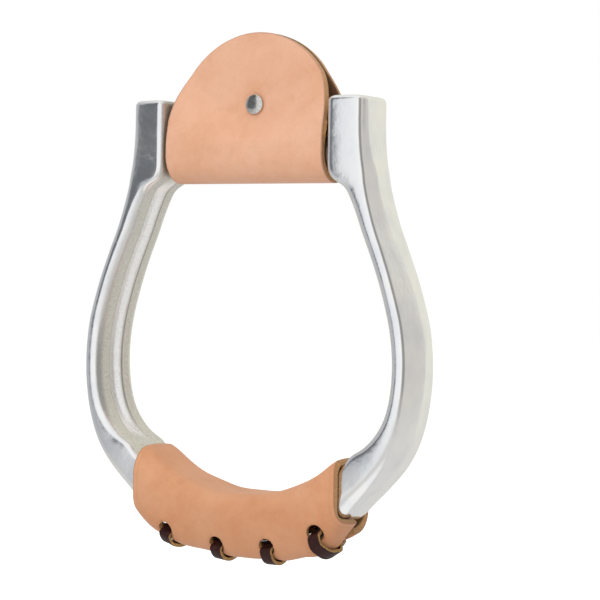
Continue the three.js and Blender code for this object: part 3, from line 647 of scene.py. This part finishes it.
def leather_sheet(name, grid, side, thick, holes, radius, skin):
    """Sheet with a grain face on the side given, a flesh face behind it and raw edges between them.

    The mark inward is the distance to the sheet's own outline, without its holes, in millimetres.
    """
    total = grid.shape[0] * grid.shape[1]
    keep = np.ones((grid.shape[0] - 1, grid.shape[1] - 1), bool)
    for hole in holes:
        open_hole(grid, keep, hole, radius)
    cells = grid_faces(*grid.shape[:2])[keep.ravel()]
    if side > 0:
        cells = cells[:, ::-1]
    border = border_of(cells, total)
    middle = grid.reshape(-1, 3)
    out = side * grid_normals(grid).reshape(-1, 3)
    rim = np.unique(border)
    far = distance_to(middle, middle[rim])
    inward = distance_to(middle, np.concatenate([grid[0], grid[-1], grid[:, 0], grid[:, -1]]))
    near = np.minimum(far, EDGE_ROUND)
    half = (thick / 2 - EDGE_ROUND + np.sqrt(EDGE_ROUND**2 - (EDGE_ROUND - near) ** 2))[:, None]
    grain, flesh = middle + out * half, middle - out * half
    place_of = np.full(total, -1)
    place_of[rim] = np.arange(len(rim))
    p, q = place_of[border].T
    base = 2 * total
    count = len(rim)
    faces = cells.tolist() + (cells[:, ::-1] + total).tolist()
    faces += np.stack([base + q, base + p, base + count + p, base + count + q], -1).tolist()
    verts = np.concatenate([grain, flesh, grain[rim], flesh[rim]])
    number = np.arange(len(verts))
    marks = {"edge": number >= 2 * total, "flesh": number >= total}
    marks["inward"] = np.concatenate([inward, inward, np.zeros(2 * count)])
    obj = make_object(name, verts, faces, skin, marks, turn_out=False)
    rework(obj, drop_loose)
    return obj


def seen_from(hole, grid):
    """How far the grid's points lie along, down and out from a hole's middle."""
    return [(grid - hole["middle"]) @ hole[way] for way in ("along", "across", "out")]


def open_hole(grid, keep, hole, radius):
    """Takes a round hole out of the cells and draws the vertices round it on to its rim."""
    along, down, out = seen_from(hole, grid)
    reach = np.where(np.abs(out) < HOLE_DEPTH, np.hypot(along, down), FAR)
    centre = (reach[:-1, :-1] + reach[:-1, 1:] + reach[1:, 1:] + reach[1:, :-1]) / 4
    inside = centre < radius
    keep &= ~inside
    touched, kept = np.zeros((2, *reach.shape), bool)
    for i, j in ((0, 0), (0, 1), (1, 0), (1, 1)):
        window = (slice(i, i + inside.shape[0]), slice(j, j + inside.shape[1]))
        touched[window] |= inside
        kept[window] |= ~inside
    rim = touched & kept
    pull = (radius / reach[rim] - 1)[:, None]
    grid[rim] += pull * (along[rim][:, None] * hole["along"] + down[rim][:, None] * hole["across"])


# Neck cover: one strip of leather, down the front, round the bar and up the back
COVER_THICK, COVER_HALF, COVER_RISE, COVER_SHIFT = 2.8, 36.4, 48.9, -0.6
COVER_FACING, SIDE_TOUCH, FOLD_RISE, COVER_PINCH, COVER_LEAN = 0.4, 44.0, 2.5, 0.5, 2.2
FOLD_RADIUS = BAR_RADIUS + BAR_GAP + COVER_THICK / 2
PRESSED = COVER_THICK / 2 + COVER_FACING / 2
RIVET_HEIGHT, RIVET_RADIUS, RIVET_HOLE = 20.1, 4.0, 2.1
RIVET_SLOPE = 2 * COVER_LEAN * RIVET_HEIGHT / COVER_RISE**2  # lean of the leather at the rivet
# How the rivet presses the leather in, under its rim, all round it and at its hole, and how far
RIM_DIMPLE, WIDE_DIMPLE, HOLE_DIMPLE = 0.55, 0.3, 0.5
RIM_REACH, RIM_INSET, DIMPLE_REACH = 1.5, 0.2, 9.0
COVER_WAVES = 0.25  # height of the leather's slow unevenness
COVER_COLUMNS, COVER_ROWS, FOLD_STEPS = 151, 70, 39
EDGE_SHARES = (0.012, 0.007, 0.004, 0.0015)  # extra rows beside the rounded edge


def lean_at(z):
    return np.where(z > 0, COVER_LEAN * (z / COVER_RISE) ** 2, 0)


def layer_out(x, z):
    side = np.clip(np.abs(x) / COVER_HALF, 0, 1)
    pinched = RIVET_HEIGHT - RIVET_RADIUS - COVER_PINCH
    touch = mix(pinched, SIDE_TOUCH, side**2)
    rise = np.clip((z - FOLD_RISE) / (touch - FOLD_RISE), 0, 1)
    return mix(PRESSED, FOLD_RADIUS, (1 - rise) ** 2 * (1 + 2 * rise))


def rivet_dimple(x, z):
    reach = np.hypot(x, z - RIVET_HEIGHT)
    rim = bell(reach - RIVET_RADIUS + RIM_INSET, RIM_REACH)
    return RIM_DIMPLE * rim + WIDE_DIMPLE * bell(reach, DIMPLE_REACH)


def neck_cover():
    turn = np.linspace(0, np.pi, COVER_COLUMNS)
    x = -COVER_HALF * np.cos(turn)
    top = COVER_RISE - COVER_HALF + np.sqrt(np.maximum(COVER_HALF**2 - x**2, 0))
    even = np.linspace(0, 1, COVER_ROWS)
    even = even[even < 1 - EDGE_SHARES[0] * 1.3]
    shares = np.concatenate([even, 1 - np.asarray(EDGE_SHARES), [1.0]])
    z = top[:, None] * shares
    across = np.repeat(x[:, None], len(shares), 1)
    out = layer_out(across, z)
    dimple = rivet_dimple(across, z)
    waves = COVER_WAVES * np.sin(across / 9.5 + 0.8) * np.sin(z / 11 + 0.5) * smooth(z / 10)

    def panel(facing):
        y = facing * (out - dimple) + waves + lean_at(z)
        return np.stack([across + COVER_SHIFT, y, z], -1)

    fold = np.pi * between(FOLD_STEPS)
    around = [np.ones_like(fold), -FOLD_RADIUS * np.cos(fold), -FOLD_RADIUS * np.sin(fold)]
    ring = np.stack([np.repeat(row, len(x), 0) for row in around], -1)
    ring[:, :, 0] = x[:, None] + COVER_SHIFT
    grid = np.concatenate([panel(-1)[:, ::-1], ring, panel(1)], 1)
    along, up = np.array([1.0, 0, 0]), unit(np.array([0, RIVET_SLOPE, 1.0]))
    lean = float(lean_at(RIVET_HEIGHT))
    holes = []
    for facing in (-1, 1):
        middle = np.array([COVER_SHIFT, facing * (PRESSED - HOLE_DIMPLE) + lean, RIVET_HEIGHT])
        holes.append({"middle": middle, "along": along, "across": up, "out": np.cross(along, up)})
    return leather_sheet("neck_cover_fine", grid, -1, COVER_THICK, holes, RIVET_HOLE, NECK_SKIN)


# Rivet: nickel heads with rolled rims, a post and a stem
def lathe(name, profile):
    """Turned piece on the rivet's axis, from pairs of radius and distance out of the leather's middle."""
    profile = np.asarray(profile, float)
    angle = np.linspace(0, 2 * np.pi, ROUND_SIDES, endpoint=False)
    reach, out = profile[:, :1], profile[:, 1:]
    rings = np.stack([reach * np.cos(angle), out * np.ones(ROUND_SIDES), reach * np.sin(angle)], -1)
    obj = tube(name, rings, NICKEL)
    turn = Vector((0, 1, 0)).rotation_difference(Vector((0, 1, -RIVET_SLOPE)))
    spot = Vector((COVER_SHIFT, float(lean_at(RIVET_HEIGHT)), RIVET_HEIGHT)) * MM
    obj.data.transform(Matrix.Translation(spot) @ turn.to_matrix().to_4x4())
    return obj


STACK_HALF = PRESSED + COVER_THICK / 2
SEAT = STACK_HALF - RIM_DIMPLE
RIM_ROUND, RIM_RISE, DOME_RISE = 0.42, 0.36, 0.30
RIM_TURN, RIM_STEPS, DOME_STEPS = (-0.35, 0.5), 9, 14  # where the rolled rim starts and ends, in half turns
POST_BORE, POST_RADIUS, STEM_RADIUS, TIP_RADIUS = 1.1, 1.8, 0.8, 0.02


def rivet_head():
    """A rivet head from its seat to the middle of its dome."""
    turn = np.linspace(*RIM_TURN, RIM_STEPS) * np.pi
    middle = RIVET_RADIUS - RIM_ROUND
    points = [(middle + RIM_ROUND * math.cos(a), SEAT + RIM_RISE + RIM_ROUND * math.sin(a)) for a in turn]
    wide, high = points[-1]
    for share in np.linspace(0, 1, DOME_STEPS)[1:]:
        reach = mix(wide, TIP_RADIUS, share)
        points.append((reach, high + DOME_RISE * (1 - (reach / wide) ** 3)))
    return points


def rivet_cap():
    post = [(POST_BORE, STACK_HALF), (POST_RADIUS, STACK_HALF), (POST_RADIUS, -SEAT)]
    return lathe("rivet_cap_fine", post + [(reach, -high) for reach, high in rivet_head()])


def rivet_stud():
    stem = [(TIP_RADIUS, -STACK_HALF), (STEM_RADIUS, -STACK_HALF), (STEM_RADIUS, SEAT)]
    return lathe("rivet_stud_fine", stem + rivet_head())


# Tread cover: drawn in upright slices, like the solid, with the flaps' edges rolled in
TREAD_LEATHER, TREAD_GAP = 2.8, 0.4
TREAD_HALF, TREAD_SHIFT = 47.9, 1.4
TREAD_SIDE = TREAD["depth"] / 2 + TREAD_GAP + TREAD_LEATHER / 2
TREAD_CORNER = TREAD["inner"] + TREAD_GAP + TREAD_LEATHER / 2
END_CORNER = 0.5  # share of the corner's size that is left at the right end
CORNER_START, CORNER_REACH = 30.0, 14.0  # where the corner starts to get smaller, and over what distance
STEEPEST = 1.5  # largest stretch of the corner on a steep slope
# Place along the cover, from -1 to 1, and how far its top stands up in the middle
CROWN = ((-1, 1.5), (-0.6, 0.8), (0, 0.4), (0.6, 0.3), (0.8, 0.6), (1, 1))
# Flaps: place along the cover, the fold's lowest line below the casting, the way out of its curve and
# of its edge, and the edge's rise above the lowest line, in millimetres
FRONT_FLAP = (
    (-1, 2, 10.5, 8.6, 0.1),
    (-0.93, 3, 10.5, 7.6, 0.3),
    (-0.86, 4, 10, 6.2, 0.9),
    (-0.74, 4.7, 9.8, 5.2, 1.6),
    (-0.61, 4.9, 9.8, 4.5, 1.9),
    (-0.46, 4.5, 9.8, 4.5, 2),
    (-0.3, 4.2, 9.8, 4.5, 2),
    (-0.15, 5, 9.8, 4.5, 2),
    (0, 5.3, 9.8, 4.5, 2),
    (0.1, 5.4, 9.8, 4.5, 2),
    (0.21, 5.4, 9.8, 4.5, 2),
    (0.32, 6.2, 9.8, 4.5, 2),
    (0.43, 7, 9.8, 4.5, 2),
    (0.52, 6.9, 9.8, 4.5, 2),
    (0.6, 7, 9.8, 4.3, 1.9),
    (0.7, 8.2, 9.6, 4.2, 1.6),
    (0.78, 8.3, 9.4, 4, 0.9),
    (0.84, 7, 9.2, 3.8, 0.3),
    (0.91, 3.6, 10, 2.2, 0.1),
    (1, 1.8, 12.4, 0, 0.1),
)
BACK_FLAP = (
    (-1, 2.4, 12, 5, 0.1),
    (-0.8, 3.4, 10, 5, 0.9),
    (-0.6, 3.6, 9.8, 4.6, 1.6),
    (-0.3, 3.6, 9.8, 4.6, 1.6),
    (0, 3.9, 9.8, 4.6, 1.6),
    (0.3, 4.2, 9.8, 4.6, 1.4),
    (0.6, 4.6, 7, 2.6, 0.9),
    (0.74, 3.4, 4.5, 0, 0.4),
    (0.84, 4.6, 3.5, -1.2, 0.1),
    (0.9, 4.6, 6, 1.6, 0),
    (1, 3, 11.5, 7.2, 0),
)
# A flap's curve is led by one point above the lowest line, in millimetres, and one below it, as a share of
# the edge's rise
GUIDE_ABOVE, GUIDE_BELOW, CURVE_SAMPLES = 1, 1.05, 200
# How far the right end draws back along each slice: place down the slice, front and back, in millimetres
END_DRAW = (
    (0, 3, 3),
    (0.14, 2.8, 3.2),
    (0.26, 2.5, 3.8),
    (0.38, 2.4, 4.6),
    (0.5, 2.3, 5),
    (0.62, 2.1, 5),
    (0.8, 1.4, 4.6),
    (1, 1.5, 4),
)
DRAW_REACH = 15.0  # how far from the right end the drawing back starts
# How far the end is pressed on to the casting, and where down its slice
END_PRESS, PRESS_AT, PRESS_REACH = 0.42, 0.36, 0.2
# Lace holes: place along the cover, shares of the way down the front and the back flap, how far the
# lace leans to the right on its way down, and how far the back hole lies to the left of the front one
HOLES = (
    (-0.683, 0.44, 0.46, 3, 0),
    (-0.177, 0.42, 0.44, 1.6, 0),
    (0.308, 0.41, 0.44, 0.8, 0),
    (0.765, 0.325, 0.42, 1.9, 5),
)
HOLE_RADIUS = 3.3
# How the lace works the leather round a hole, in millimetres: the rim's upper half stands up, the leather
# under the lace is pressed in, and the leather above the hole swells. Each of the last two has a height,
# a half width, a distance down from the hole and a reach down.
RIM_SWELL, RIM_WIDTH = 0.28, math.sqrt(2.2)
LACE_PRESS, LACE_SWELL = (-0.55, 3.4, 5.0, 4.0), (0.18, 4.2, -6.5, 3.0)
PULL_DEPTH = 6.0  # distance through the leather within which a hole works it, so that the other flap is left
SLOW_WAVES, FINE_WAVES = 0.16, 0.1
# Points down a slice: half the top, its corner, the straight side and the flap
TOP_STEPS, CORNER_STEPS, SIDE_STEPS, FLAP_STEPS, CURVE_STEPS = 12, 14, 12, 34, 48
COVER_SLICES, END_SLICE = 172, 0.9
LOWER_PART = 0.6  # share of the way down the casting from which its guides give one height for each place
END_PLACES = (0.0, 0.06, 0.16, 0.32, 0.5)  # slices beside the rounded edges


def table(rows, place, column):
    """Smooth curve through a table's column."""
    rows = np.asarray(rows, float)
    at, values = rows[:, 0], rows[:, column]
    slopes = np.gradient(values, at)
    place = np.clip(place, at[0], at[-1])
    k = np.clip(np.searchsorted(at, place) - 1, 0, len(at) - 2)
    step = at[k + 1] - at[k]
    s = (place - at[k]) / step
    return (
        (1 + 2 * s) * (1 - s) ** 2 * values[k]
        + s * (1 - s) ** 2 * step * slopes[k]
        + s**2 * (3 - 2 * s) * values[k + 1]
        + s**2 * (s - 1) * step * slopes[k + 1]
    )


def height_curve(row):
    """Height over the place across, along the lower part of one of the casting's guides."""
    points = catmull(row, np.linspace(LOWER_PART, 1, 300) * GUIDE_END)[::-1]
    return lambda x: np.interp(np.abs(x), points[:, 0], points[:, 2])


tread_top, tread_bottom = height_curve(INNER_ROW), height_curve(OUTER_ROW)


def slope_at(curve, x):
    return curve(x + 0.5) - curve(x - 0.5)


def upright_factor(curve, x):
    """How much longer a thickness across the curve gets when it is measured upright."""
    return float(np.sqrt(1 + slope_at(curve, x) ** 2))


def flap_curve(x, facing, steps=CURVE_STEPS):
    """Flap in its slice from the straight side to its edge: pairs of the way out and the height."""
    rows = FRONT_FLAP if facing < 0 else BACK_FLAP
    place = (x - TREAD_SHIFT) / TREAD_HALF
    hang, low, edge, roll = [float(table(rows, place, k)) for k in (1, 2, 3, 4)]
    bottom = float(tread_bottom(x))
    lowest = bottom - hang
    start, end = np.array([TREAD_SIDE, bottom + TREAD["outer"]]), np.array([edge, lowest + roll])
    side = np.array([TREAD_SIDE, lowest + GUIDE_ABOVE])
    under = np.array([low, lowest - GUIDE_BELOW * roll])
    t = np.linspace(0, 1, CURVE_SAMPLES)[:, None]
    points = (1 - t) ** 3 * start + 3 * t * (1 - t) ** 2 * side + 3 * t**2 * (1 - t) * under + t**3 * end
    run = run_along(points)
    return read_at(np.linspace(0, run[-1], steps + 1), run, points), run[-1]


def cover_slice(x, facing):
    """One side of an upright slice, from the middle of the cover's top down to the flap's edge."""
    upright = upright_factor(tread_top, x)
    top = float(tread_top(x)) + (TREAD_GAP + TREAD_LEATHER / 2) * upright
    place = (x - TREAD_SHIFT) / TREAD_HALF
    crown = float(table(CROWN, place, 1))
    corner = TREAD_CORNER * mix(1, END_CORNER, float(smooth((x - CORNER_START) / CORNER_REACH)))
    flat = TREAD_SIDE - corner
    flap, _ = flap_curve(x, facing, FLAP_STEPS)
    turn = np.linspace(0, np.pi / 2, CORNER_STEPS + 1)[:-1]
    out = np.concatenate([np.linspace(0, flat, TOP_STEPS + 1)[:-1], flat + corner * np.sin(turn)])
    tall = corner * min(upright, STEEPEST) ** 1.5
    height = np.concatenate([np.full(TOP_STEPS, top), top - tall * (1 - np.cos(turn))])
    height += crown * (1 - (out / TREAD_SIDE) ** 2)
    side = np.linspace(top - tall, flap[0, 1], SIDE_STEPS + 1)[:-1]
    out = np.concatenate([out, np.full(SIDE_STEPS, TREAD_SIDE), flap[:, 0]])
    height = np.concatenate([height, side, flap[:, 1]])
    return np.stack([np.full(len(out), x), facing * out, height], -1)


def flap_spot(x, facing, step):
    """Point on a flap, so many steps of its curve down from its start."""
    points, _ = flap_curve(x, facing)
    out, height = read_at(step, np.arange(len(points)), points)
    return np.array([x, facing * out, height])


def flap_frame(x, facing, t):
    """Spot on a flap, t of the way down it, with its ways down, along, across the way along and out."""
    step = t * CURVE_STEPS
    inner = np.clip(step, 0.5, CURVE_STEPS - 0.5)
    down = unit(flap_spot(x, facing, inner + 0.5) - flap_spot(x, facing, inner - 0.5))
    along = unit(flap_spot(x + 0.5, facing, step) - flap_spot(x - 0.5, facing, step))
    return {
        "middle": flap_spot(x, facing, step),
        "down": down,
        "along": along,
        "across": unit(down - (down @ along) * along),
        "out": facing * unit(np.cross(along, down)),
        "length": flap_curve(x, facing)[1],
    }


def stitches():
    made = []
    for place, front, back, lean, behind in HOLES:
        x = place * TREAD_HALF + TREAD_SHIFT
        pair = []
        for px, facing, t in ((x, -1, front), (x - behind, 1, back)):
            pair.append(dict(flap_frame(px, facing, t), t=t, x=px, facing=facing, edge=x + lean))
        made.append(pair)
    return made


STITCHES = stitches()
LACE_HOLES = [hole for pair in STITCHES for hole in pair]


def pull_of_lace(grid):
    """How far the leather stands out round the holes, below 0 where the lace presses it in."""
    pull = np.zeros(grid.shape[:2])
    for hole in LACE_HOLES:
        along, down, out = seen_from(hole, grid)
        close = np.abs(out) < PULL_DEPTH
        rim = bell(np.hypot(along, down * 0.9) - HOLE_RADIUS, RIM_WIDTH)
        pull += close * RIM_SWELL * rim * (down < 0)
        for height, wide, low, tall in (LACE_PRESS, LACE_SWELL):
            pull += close * height * bell(along, wide) * bell(down - low, tall)
    return pull


def tread_cover():
    edges = np.array(END_PLACES)
    even = np.linspace(END_SLICE, 2 * TREAD_HALF - END_SLICE, COVER_SLICES)
    x = np.concatenate([edges, even, 2 * TREAD_HALF - edges[::-1]]) - TREAD_HALF + TREAD_SHIFT
    grid = np.array([np.vstack([cover_slice(px, -1)[::-1], cover_slice(px, 1)[1:]]) for px in x])
    half = grid.shape[1] // 2
    down = np.abs(np.arange(grid.shape[1]) - half) / half
    front = np.arange(grid.shape[1]) < half
    fade = smooth((x - x[-1]) / DRAW_REACH + 1)[:, None]
    draw = np.where(front, table(END_DRAW, down, 1), table(END_DRAW, down, 2))
    moved = x[:, None] - fade * draw
    for j in range(grid.shape[1]):
        grid[:, j] = read_at(moved[:, j], x, grid[:, j])
    waves = SLOW_WAVES * np.sin(grid[:, :, 0] / 5.3 + 1.2) * np.sin(grid[:, :, 2] / 6.1)
    waves += FINE_WAVES * np.sin(grid[:, :, 0] / 2.9 + grid[:, :, 1] / 4.0)
    press = END_PRESS * fade * bell(down - PRESS_AT, PRESS_REACH)
    grid += grid_normals(grid) * (pull_of_lace(grid) + waves - press)[:, :, None]
    return leather_sheet("tread_cover_fine", grid, 1, TREAD_LEATHER, LACE_HOLES, HOLE_RADIUS, TREAD_SKIN)


# Lace: one flat strap along the solid's route
LACE_WIDTH, LACE_THICK, LACE_ROUND, LACE_GAP, INSIDE_GAP = 5.0, 1.5, 0.28, 0.35, 0.9
INSIDE_REACH, LACE_INSET, LACE_TAIL = 6.9, 0.5, 7.0
LACE_DIPS = (0.4, 0.9, 1.4)  # how far below a hole's middle the lace passes, from inside to outside
TAIL_SHARES = (0.33, 0.5)  # the two ends' places inside, as shares of the lace's reach there
LACE_STEP = 0.45
WRAP_STEPS, INSIDE_STEPS = 6, 9  # points of the route on a flap and under the casting
WRAP_START = 0.7  # where a stitch starts on its flap, in thicknesses of the lace below the hole
EARLY_LEAN = 0.6  # power that makes the lace lean most beside its hole


def wrap_points(hole):
    """Outside part of a stitch on one flap, from inside its hole to the flap's edge."""
    hold = TREAD_LEATHER / 2 + LACE_INSET
    points = []
    for reach, dip in zip((-hold, 0.0, hold), LACE_DIPS):
        points.append((hole["middle"] + hole["out"] * reach + hole["down"] * dip, hole["along"]))
    wrap_out = TREAD_LEATHER / 2 + LACE_GAP + LACE_THICK / 2
    start = hole["t"] + (HOLE_RADIUS + LACE_THICK * WRAP_START) / hole["length"]
    for share in np.linspace(0, 1, WRAP_STEPS):
        x = mix(hole["x"], hole["edge"], share**EARLY_LEAN)
        frame = flap_frame(x, hole["facing"], mix(start, 1, share))
        points.append((frame["middle"] + frame["out"] * wrap_out, frame["along"]))
    return points


def inside_run(start, end):
    """The lace under the casting between two places, each given along and across."""
    points = []
    for share in np.linspace(0, 1, INSIDE_STEPS):
        x = mix(start[0], end[0], float(smooth(share)))
        factor = upright_factor(tread_bottom, x)
        height = float(tread_bottom(x)) - (INSIDE_GAP + LACE_THICK / 2) * factor
        way = unit(np.array([1, 0, float(slope_at(tread_bottom, x))]))
        points.append((np.array([x, mix(start[1], end[1], share), height]), way))
    return points


def lace_route():
    first, last = STITCHES[0][0]["x"], STITCHES[-1][1]["x"]
    tails = [share * INSIDE_REACH for share in TAIL_SHARES]
    points = inside_run((first - LACE_TAIL, tails[0]), (first, -INSIDE_REACH))
    for k, (front, back) in enumerate(STITCHES):
        points += wrap_points(front) + wrap_points(back)[::-1]
        if k + 1 < len(STITCHES):
            points += inside_run((back["x"], INSIDE_REACH), (STITCHES[k + 1][0]["x"], -INSIDE_REACH))
    return points + inside_run((last, INSIDE_REACH), (last - LACE_TAIL, tails[1]))


def strap_outline():
    """Rounded strap section: pairs across and through, with marks for the cut edges."""
    wide, thick = LACE_WIDTH / 2 - LACE_ROUND, LACE_THICK / 2 - LACE_ROUND
    angle = np.radians([start + turn for start in (0, 90, 180, 270) for turn in (0, 30, 60, 90)])
    corners = np.repeat([(wide, thick), (-wide, thick), (-wide, -thick), (wide, -thick)], 4, axis=0)
    outline = corners + LACE_ROUND * np.stack([np.cos(angle), np.sin(angle)], -1)
    return outline, np.abs(np.cos(angle)) > 0.6


def tread_lace():
    stops = lace_route()
    points = np.array([p for p, _ in stops])
    widths = np.array([w for _, w in stops])
    last = len(points) - 1
    steps = np.maximum(np.diff(run_along(points)) / LACE_STEP, 1).astype(int)
    places = np.concatenate([k + np.arange(n) / n for k, n in enumerate(steps)] + [[last]])
    samples = catmull(points, places / last)
    across = read_at(places, np.arange(last + 1), widths)
    heading = unit(np.gradient(samples, axis=0))
    side = unit(across - np.sum(across * heading, -1, keepdims=True) * heading)
    face = np.cross(heading, side)
    outline, cut_edge = strap_outline()
    rings = samples[:, None] + side[:, None] * outline[:, :1] + face[:, None] * outline[:, 1:]
    return tube("tread_lace_fine", rings, LATIGO, {"edge": np.tile(cut_edge, len(samples))})


def dress(obj, nodename, body):
    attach(obj, body)
    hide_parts(nodename)


dress(frame_casting(), "frame_casting", "frame")
dress(neck_cover(), "neck_cover", "cover")
dress(rivet_cap(), "rivet_cap", "cover")
dress(rivet_stud(), "rivet_stud", "cover")
dress(tread_cover(), "tread_cover", "frame")
dress(tread_lace(), "tread_lace", "frame")


# Stage, light and background
FLOOR_HALF = 6000.0  # millimetres
FLOOR_HEIGHT = -0.26  # metres


def stage():
    """Pale paper floor, which glossy rays don't meet, so that metal shows the room instead."""
    m, tree, shader = material("floor_paper")
    paper = noise_at(node(tree, "TexCoord").outputs["Object"], 60.0, 3, 0.5)
    tone = ramp(paper, [(0.0, 0.88), (1.0, 0.92)])
    tree.links.new(tone, shader.inputs["Base Color"])
    shader.inputs["Roughness"].default_value = 0.9
    shader.inputs["Specular IOR Level"].default_value = 0.0
    seen = node(tree, "LightPath").outputs["Is Camera Ray"]
    glow = node(tree, "Emission", {"Color": (1, 1, 1, 1), "Strength": math_node("MULTIPLY", seen, 0.6)})
    white = node(tree, "AddShader", {0: shader.outputs[0], 1: glow.outputs[0]})
    dull = node(tree, "BsdfDiffuse", {"Color": (0.82, 0.82, 0.82, 1)})
    mixed = node(tree, "MixShader", {0: seen, 1: dull.outputs[0], 2: white.outputs[0]})
    tree.links.new(mixed.outputs[0], tree.nodes["Material Output"].inputs["Surface"])
    h = FLOOR_HALF
    corners = [(-h, -h, 0), (h, -h, 0), (h, h, 0), (-h, h, 0)]
    floor = make_object("floor", corners, [(0, 1, 2, 3)], m, shade=False, turn_out=False)
    floor.location = (0, 0, FLOOR_HEIGHT)
    floor.visible_glossy = False


# Lamps: place in metres, width in metres and power in watts
LAMPS = {
    "key": ((0.45, -1.3, 0.55), 1.0, 8.5),
    "fill": ((-1.2, -0.9, 0.1), 1.0, 3.0),
    "top": ((0.1, 0.1, 1.3), 1.4, 9.0),
}
LIT_SPOT = Vector((0, 0, -0.05))


def lamp(name, location, size, power):
    """Square soft lamp that lights the object's middle."""
    data = bpy.data.lights.new(name, "AREA")
    data.size, data.energy = size, power
    obj = new_object(name, data)
    obj.location = location
    obj.rotation_mode = "QUATERNION"
    obj.rotation_quaternion = (LIT_SPOT - Vector(location)).to_track_quat("-Z", "Y")
    obj.visible_camera = False
    obj.visible_glossy = False


# What polished metal sees round the object: grey by azimuth in degrees, 0 in front and 90 on the right
ROOM = [(-180, 0.86), (-120, 0.70), (-90, 0.58), (-60, 0.54), (-44, 0.62), (-30, 0.86), (-13, 1.0)]
ROOM += [(42, 1.05), (56, 0.72), (67, 0.34), (108, 0.34), (122, 0.64), (148, 0.68), (154, 0.86), (180, 0.86)]
# The same for a tint: greenish behind, cool in front on the left, warm on the right
GREENISH, WARM = (1.0, 0.99, 0.88), (1.0, 0.965, 0.92)
TINT = [(-180, GREENISH), (-61.2, (0.96, 0.98, 1.04)), (-25.2, (0.96, 0.985, 1.02)), (36, 1.0)]
TINT += [(122.4, WARM), (147.6, WARM), (154.8, (1.0, 0.985, 0.90)), (180, GREENISH)]
# A slate-grey board on the left, full from the object's height upwards and faint below
BOARD = [(-55, 0.0), (-49, 1.0), (-31, 1.0), (-25, 0.0)]
BOARD_TONE = (0.160, 0.168, 0.180, 1.0)
# Heights run from 0 straight down to 1 straight up, with 0.5 level
BOARD_HEIGHTS = [(0.40, 0.22), (0.492, 0.36), (0.514, 1.0)]
CEILING, CEILING_TONE = [(0.84, 0.0), (0.93, 1.0)], (0.95, 0.95, 0.95, 1.0)
GROUND, GROUND_TONE = [(0.25, 1.0), (0.45, 0.0)], (0.72, 0.715, 0.70, 1.0)
UNDER, UNDER_TONE = [(0.06, 1.0), (0.16, 0.0)], (1.0, 1.0, 1.0, 1.0)
SOFT_LIGHT = (0.52, 0.52, 0.52, 1.0)  # what lights the leather from all round


def by_azimuth(turn, stops):
    return ramp(turn, [((a + 180) / 360, v) for a, v in stops])


def world():
    w = bpy.data.worlds.new("studio")
    bpy.context.scene.world = w
    w.use_nodes = True
    tree = w.node_tree
    background = tree.nodes["Background"]
    toward = node(tree, "TexCoord").outputs["Generated"]
    axes = node(tree, "SeparateXYZ", {0: toward})
    x, y, z = axes.outputs[0], axes.outputs[1], axes.outputs[2]
    angle = math_node("ARCTAN2", x, math_node("MULTIPLY", y, -1.0))
    turn = math_node("MULTIPLY_ADD", angle, 1 / (2 * math.pi), 0.5)
    walls = by_azimuth(turn, ROOM)
    walls = blend_colour(1.0, walls, by_azimuth(turn, TINT), "MULTIPLY")
    high = math_node("MULTIPLY_ADD", z, 0.5, 0.5)
    board = math_node("MULTIPLY", by_azimuth(turn, BOARD), ramp(high, BOARD_HEIGHTS))
    room = blend_colour(board, walls, BOARD_TONE)
    for stops, tone in ((GROUND, GROUND_TONE), (UNDER, UNDER_TONE), (CEILING, CEILING_TONE)):
        room = blend_colour(ramp(high, stops), room, tone)
    ray = node(tree, "LightPath")
    seen = math_node("MAXIMUM", ray.outputs["Is Camera Ray"], ray.outputs["Is Transmission Ray"])
    lighting = blend_colour(ray.outputs["Is Glossy Ray"], SOFT_LIGHT, room)
    colour = blend_colour(seen, lighting, (1, 1, 1, 1))
    tree.links.new(colour, background.inputs["Color"])
    background.inputs["Strength"].default_value = 1.0


stage()
world()
for lamp_name, facts in LAMPS.items():
    lamp(lamp_name, *facts)
bpy.context.scene.view_settings.view_transform = "Standard"

for slot in frame["nodes"]["neck_bar"].material_slots:
    slot.material = STEEL
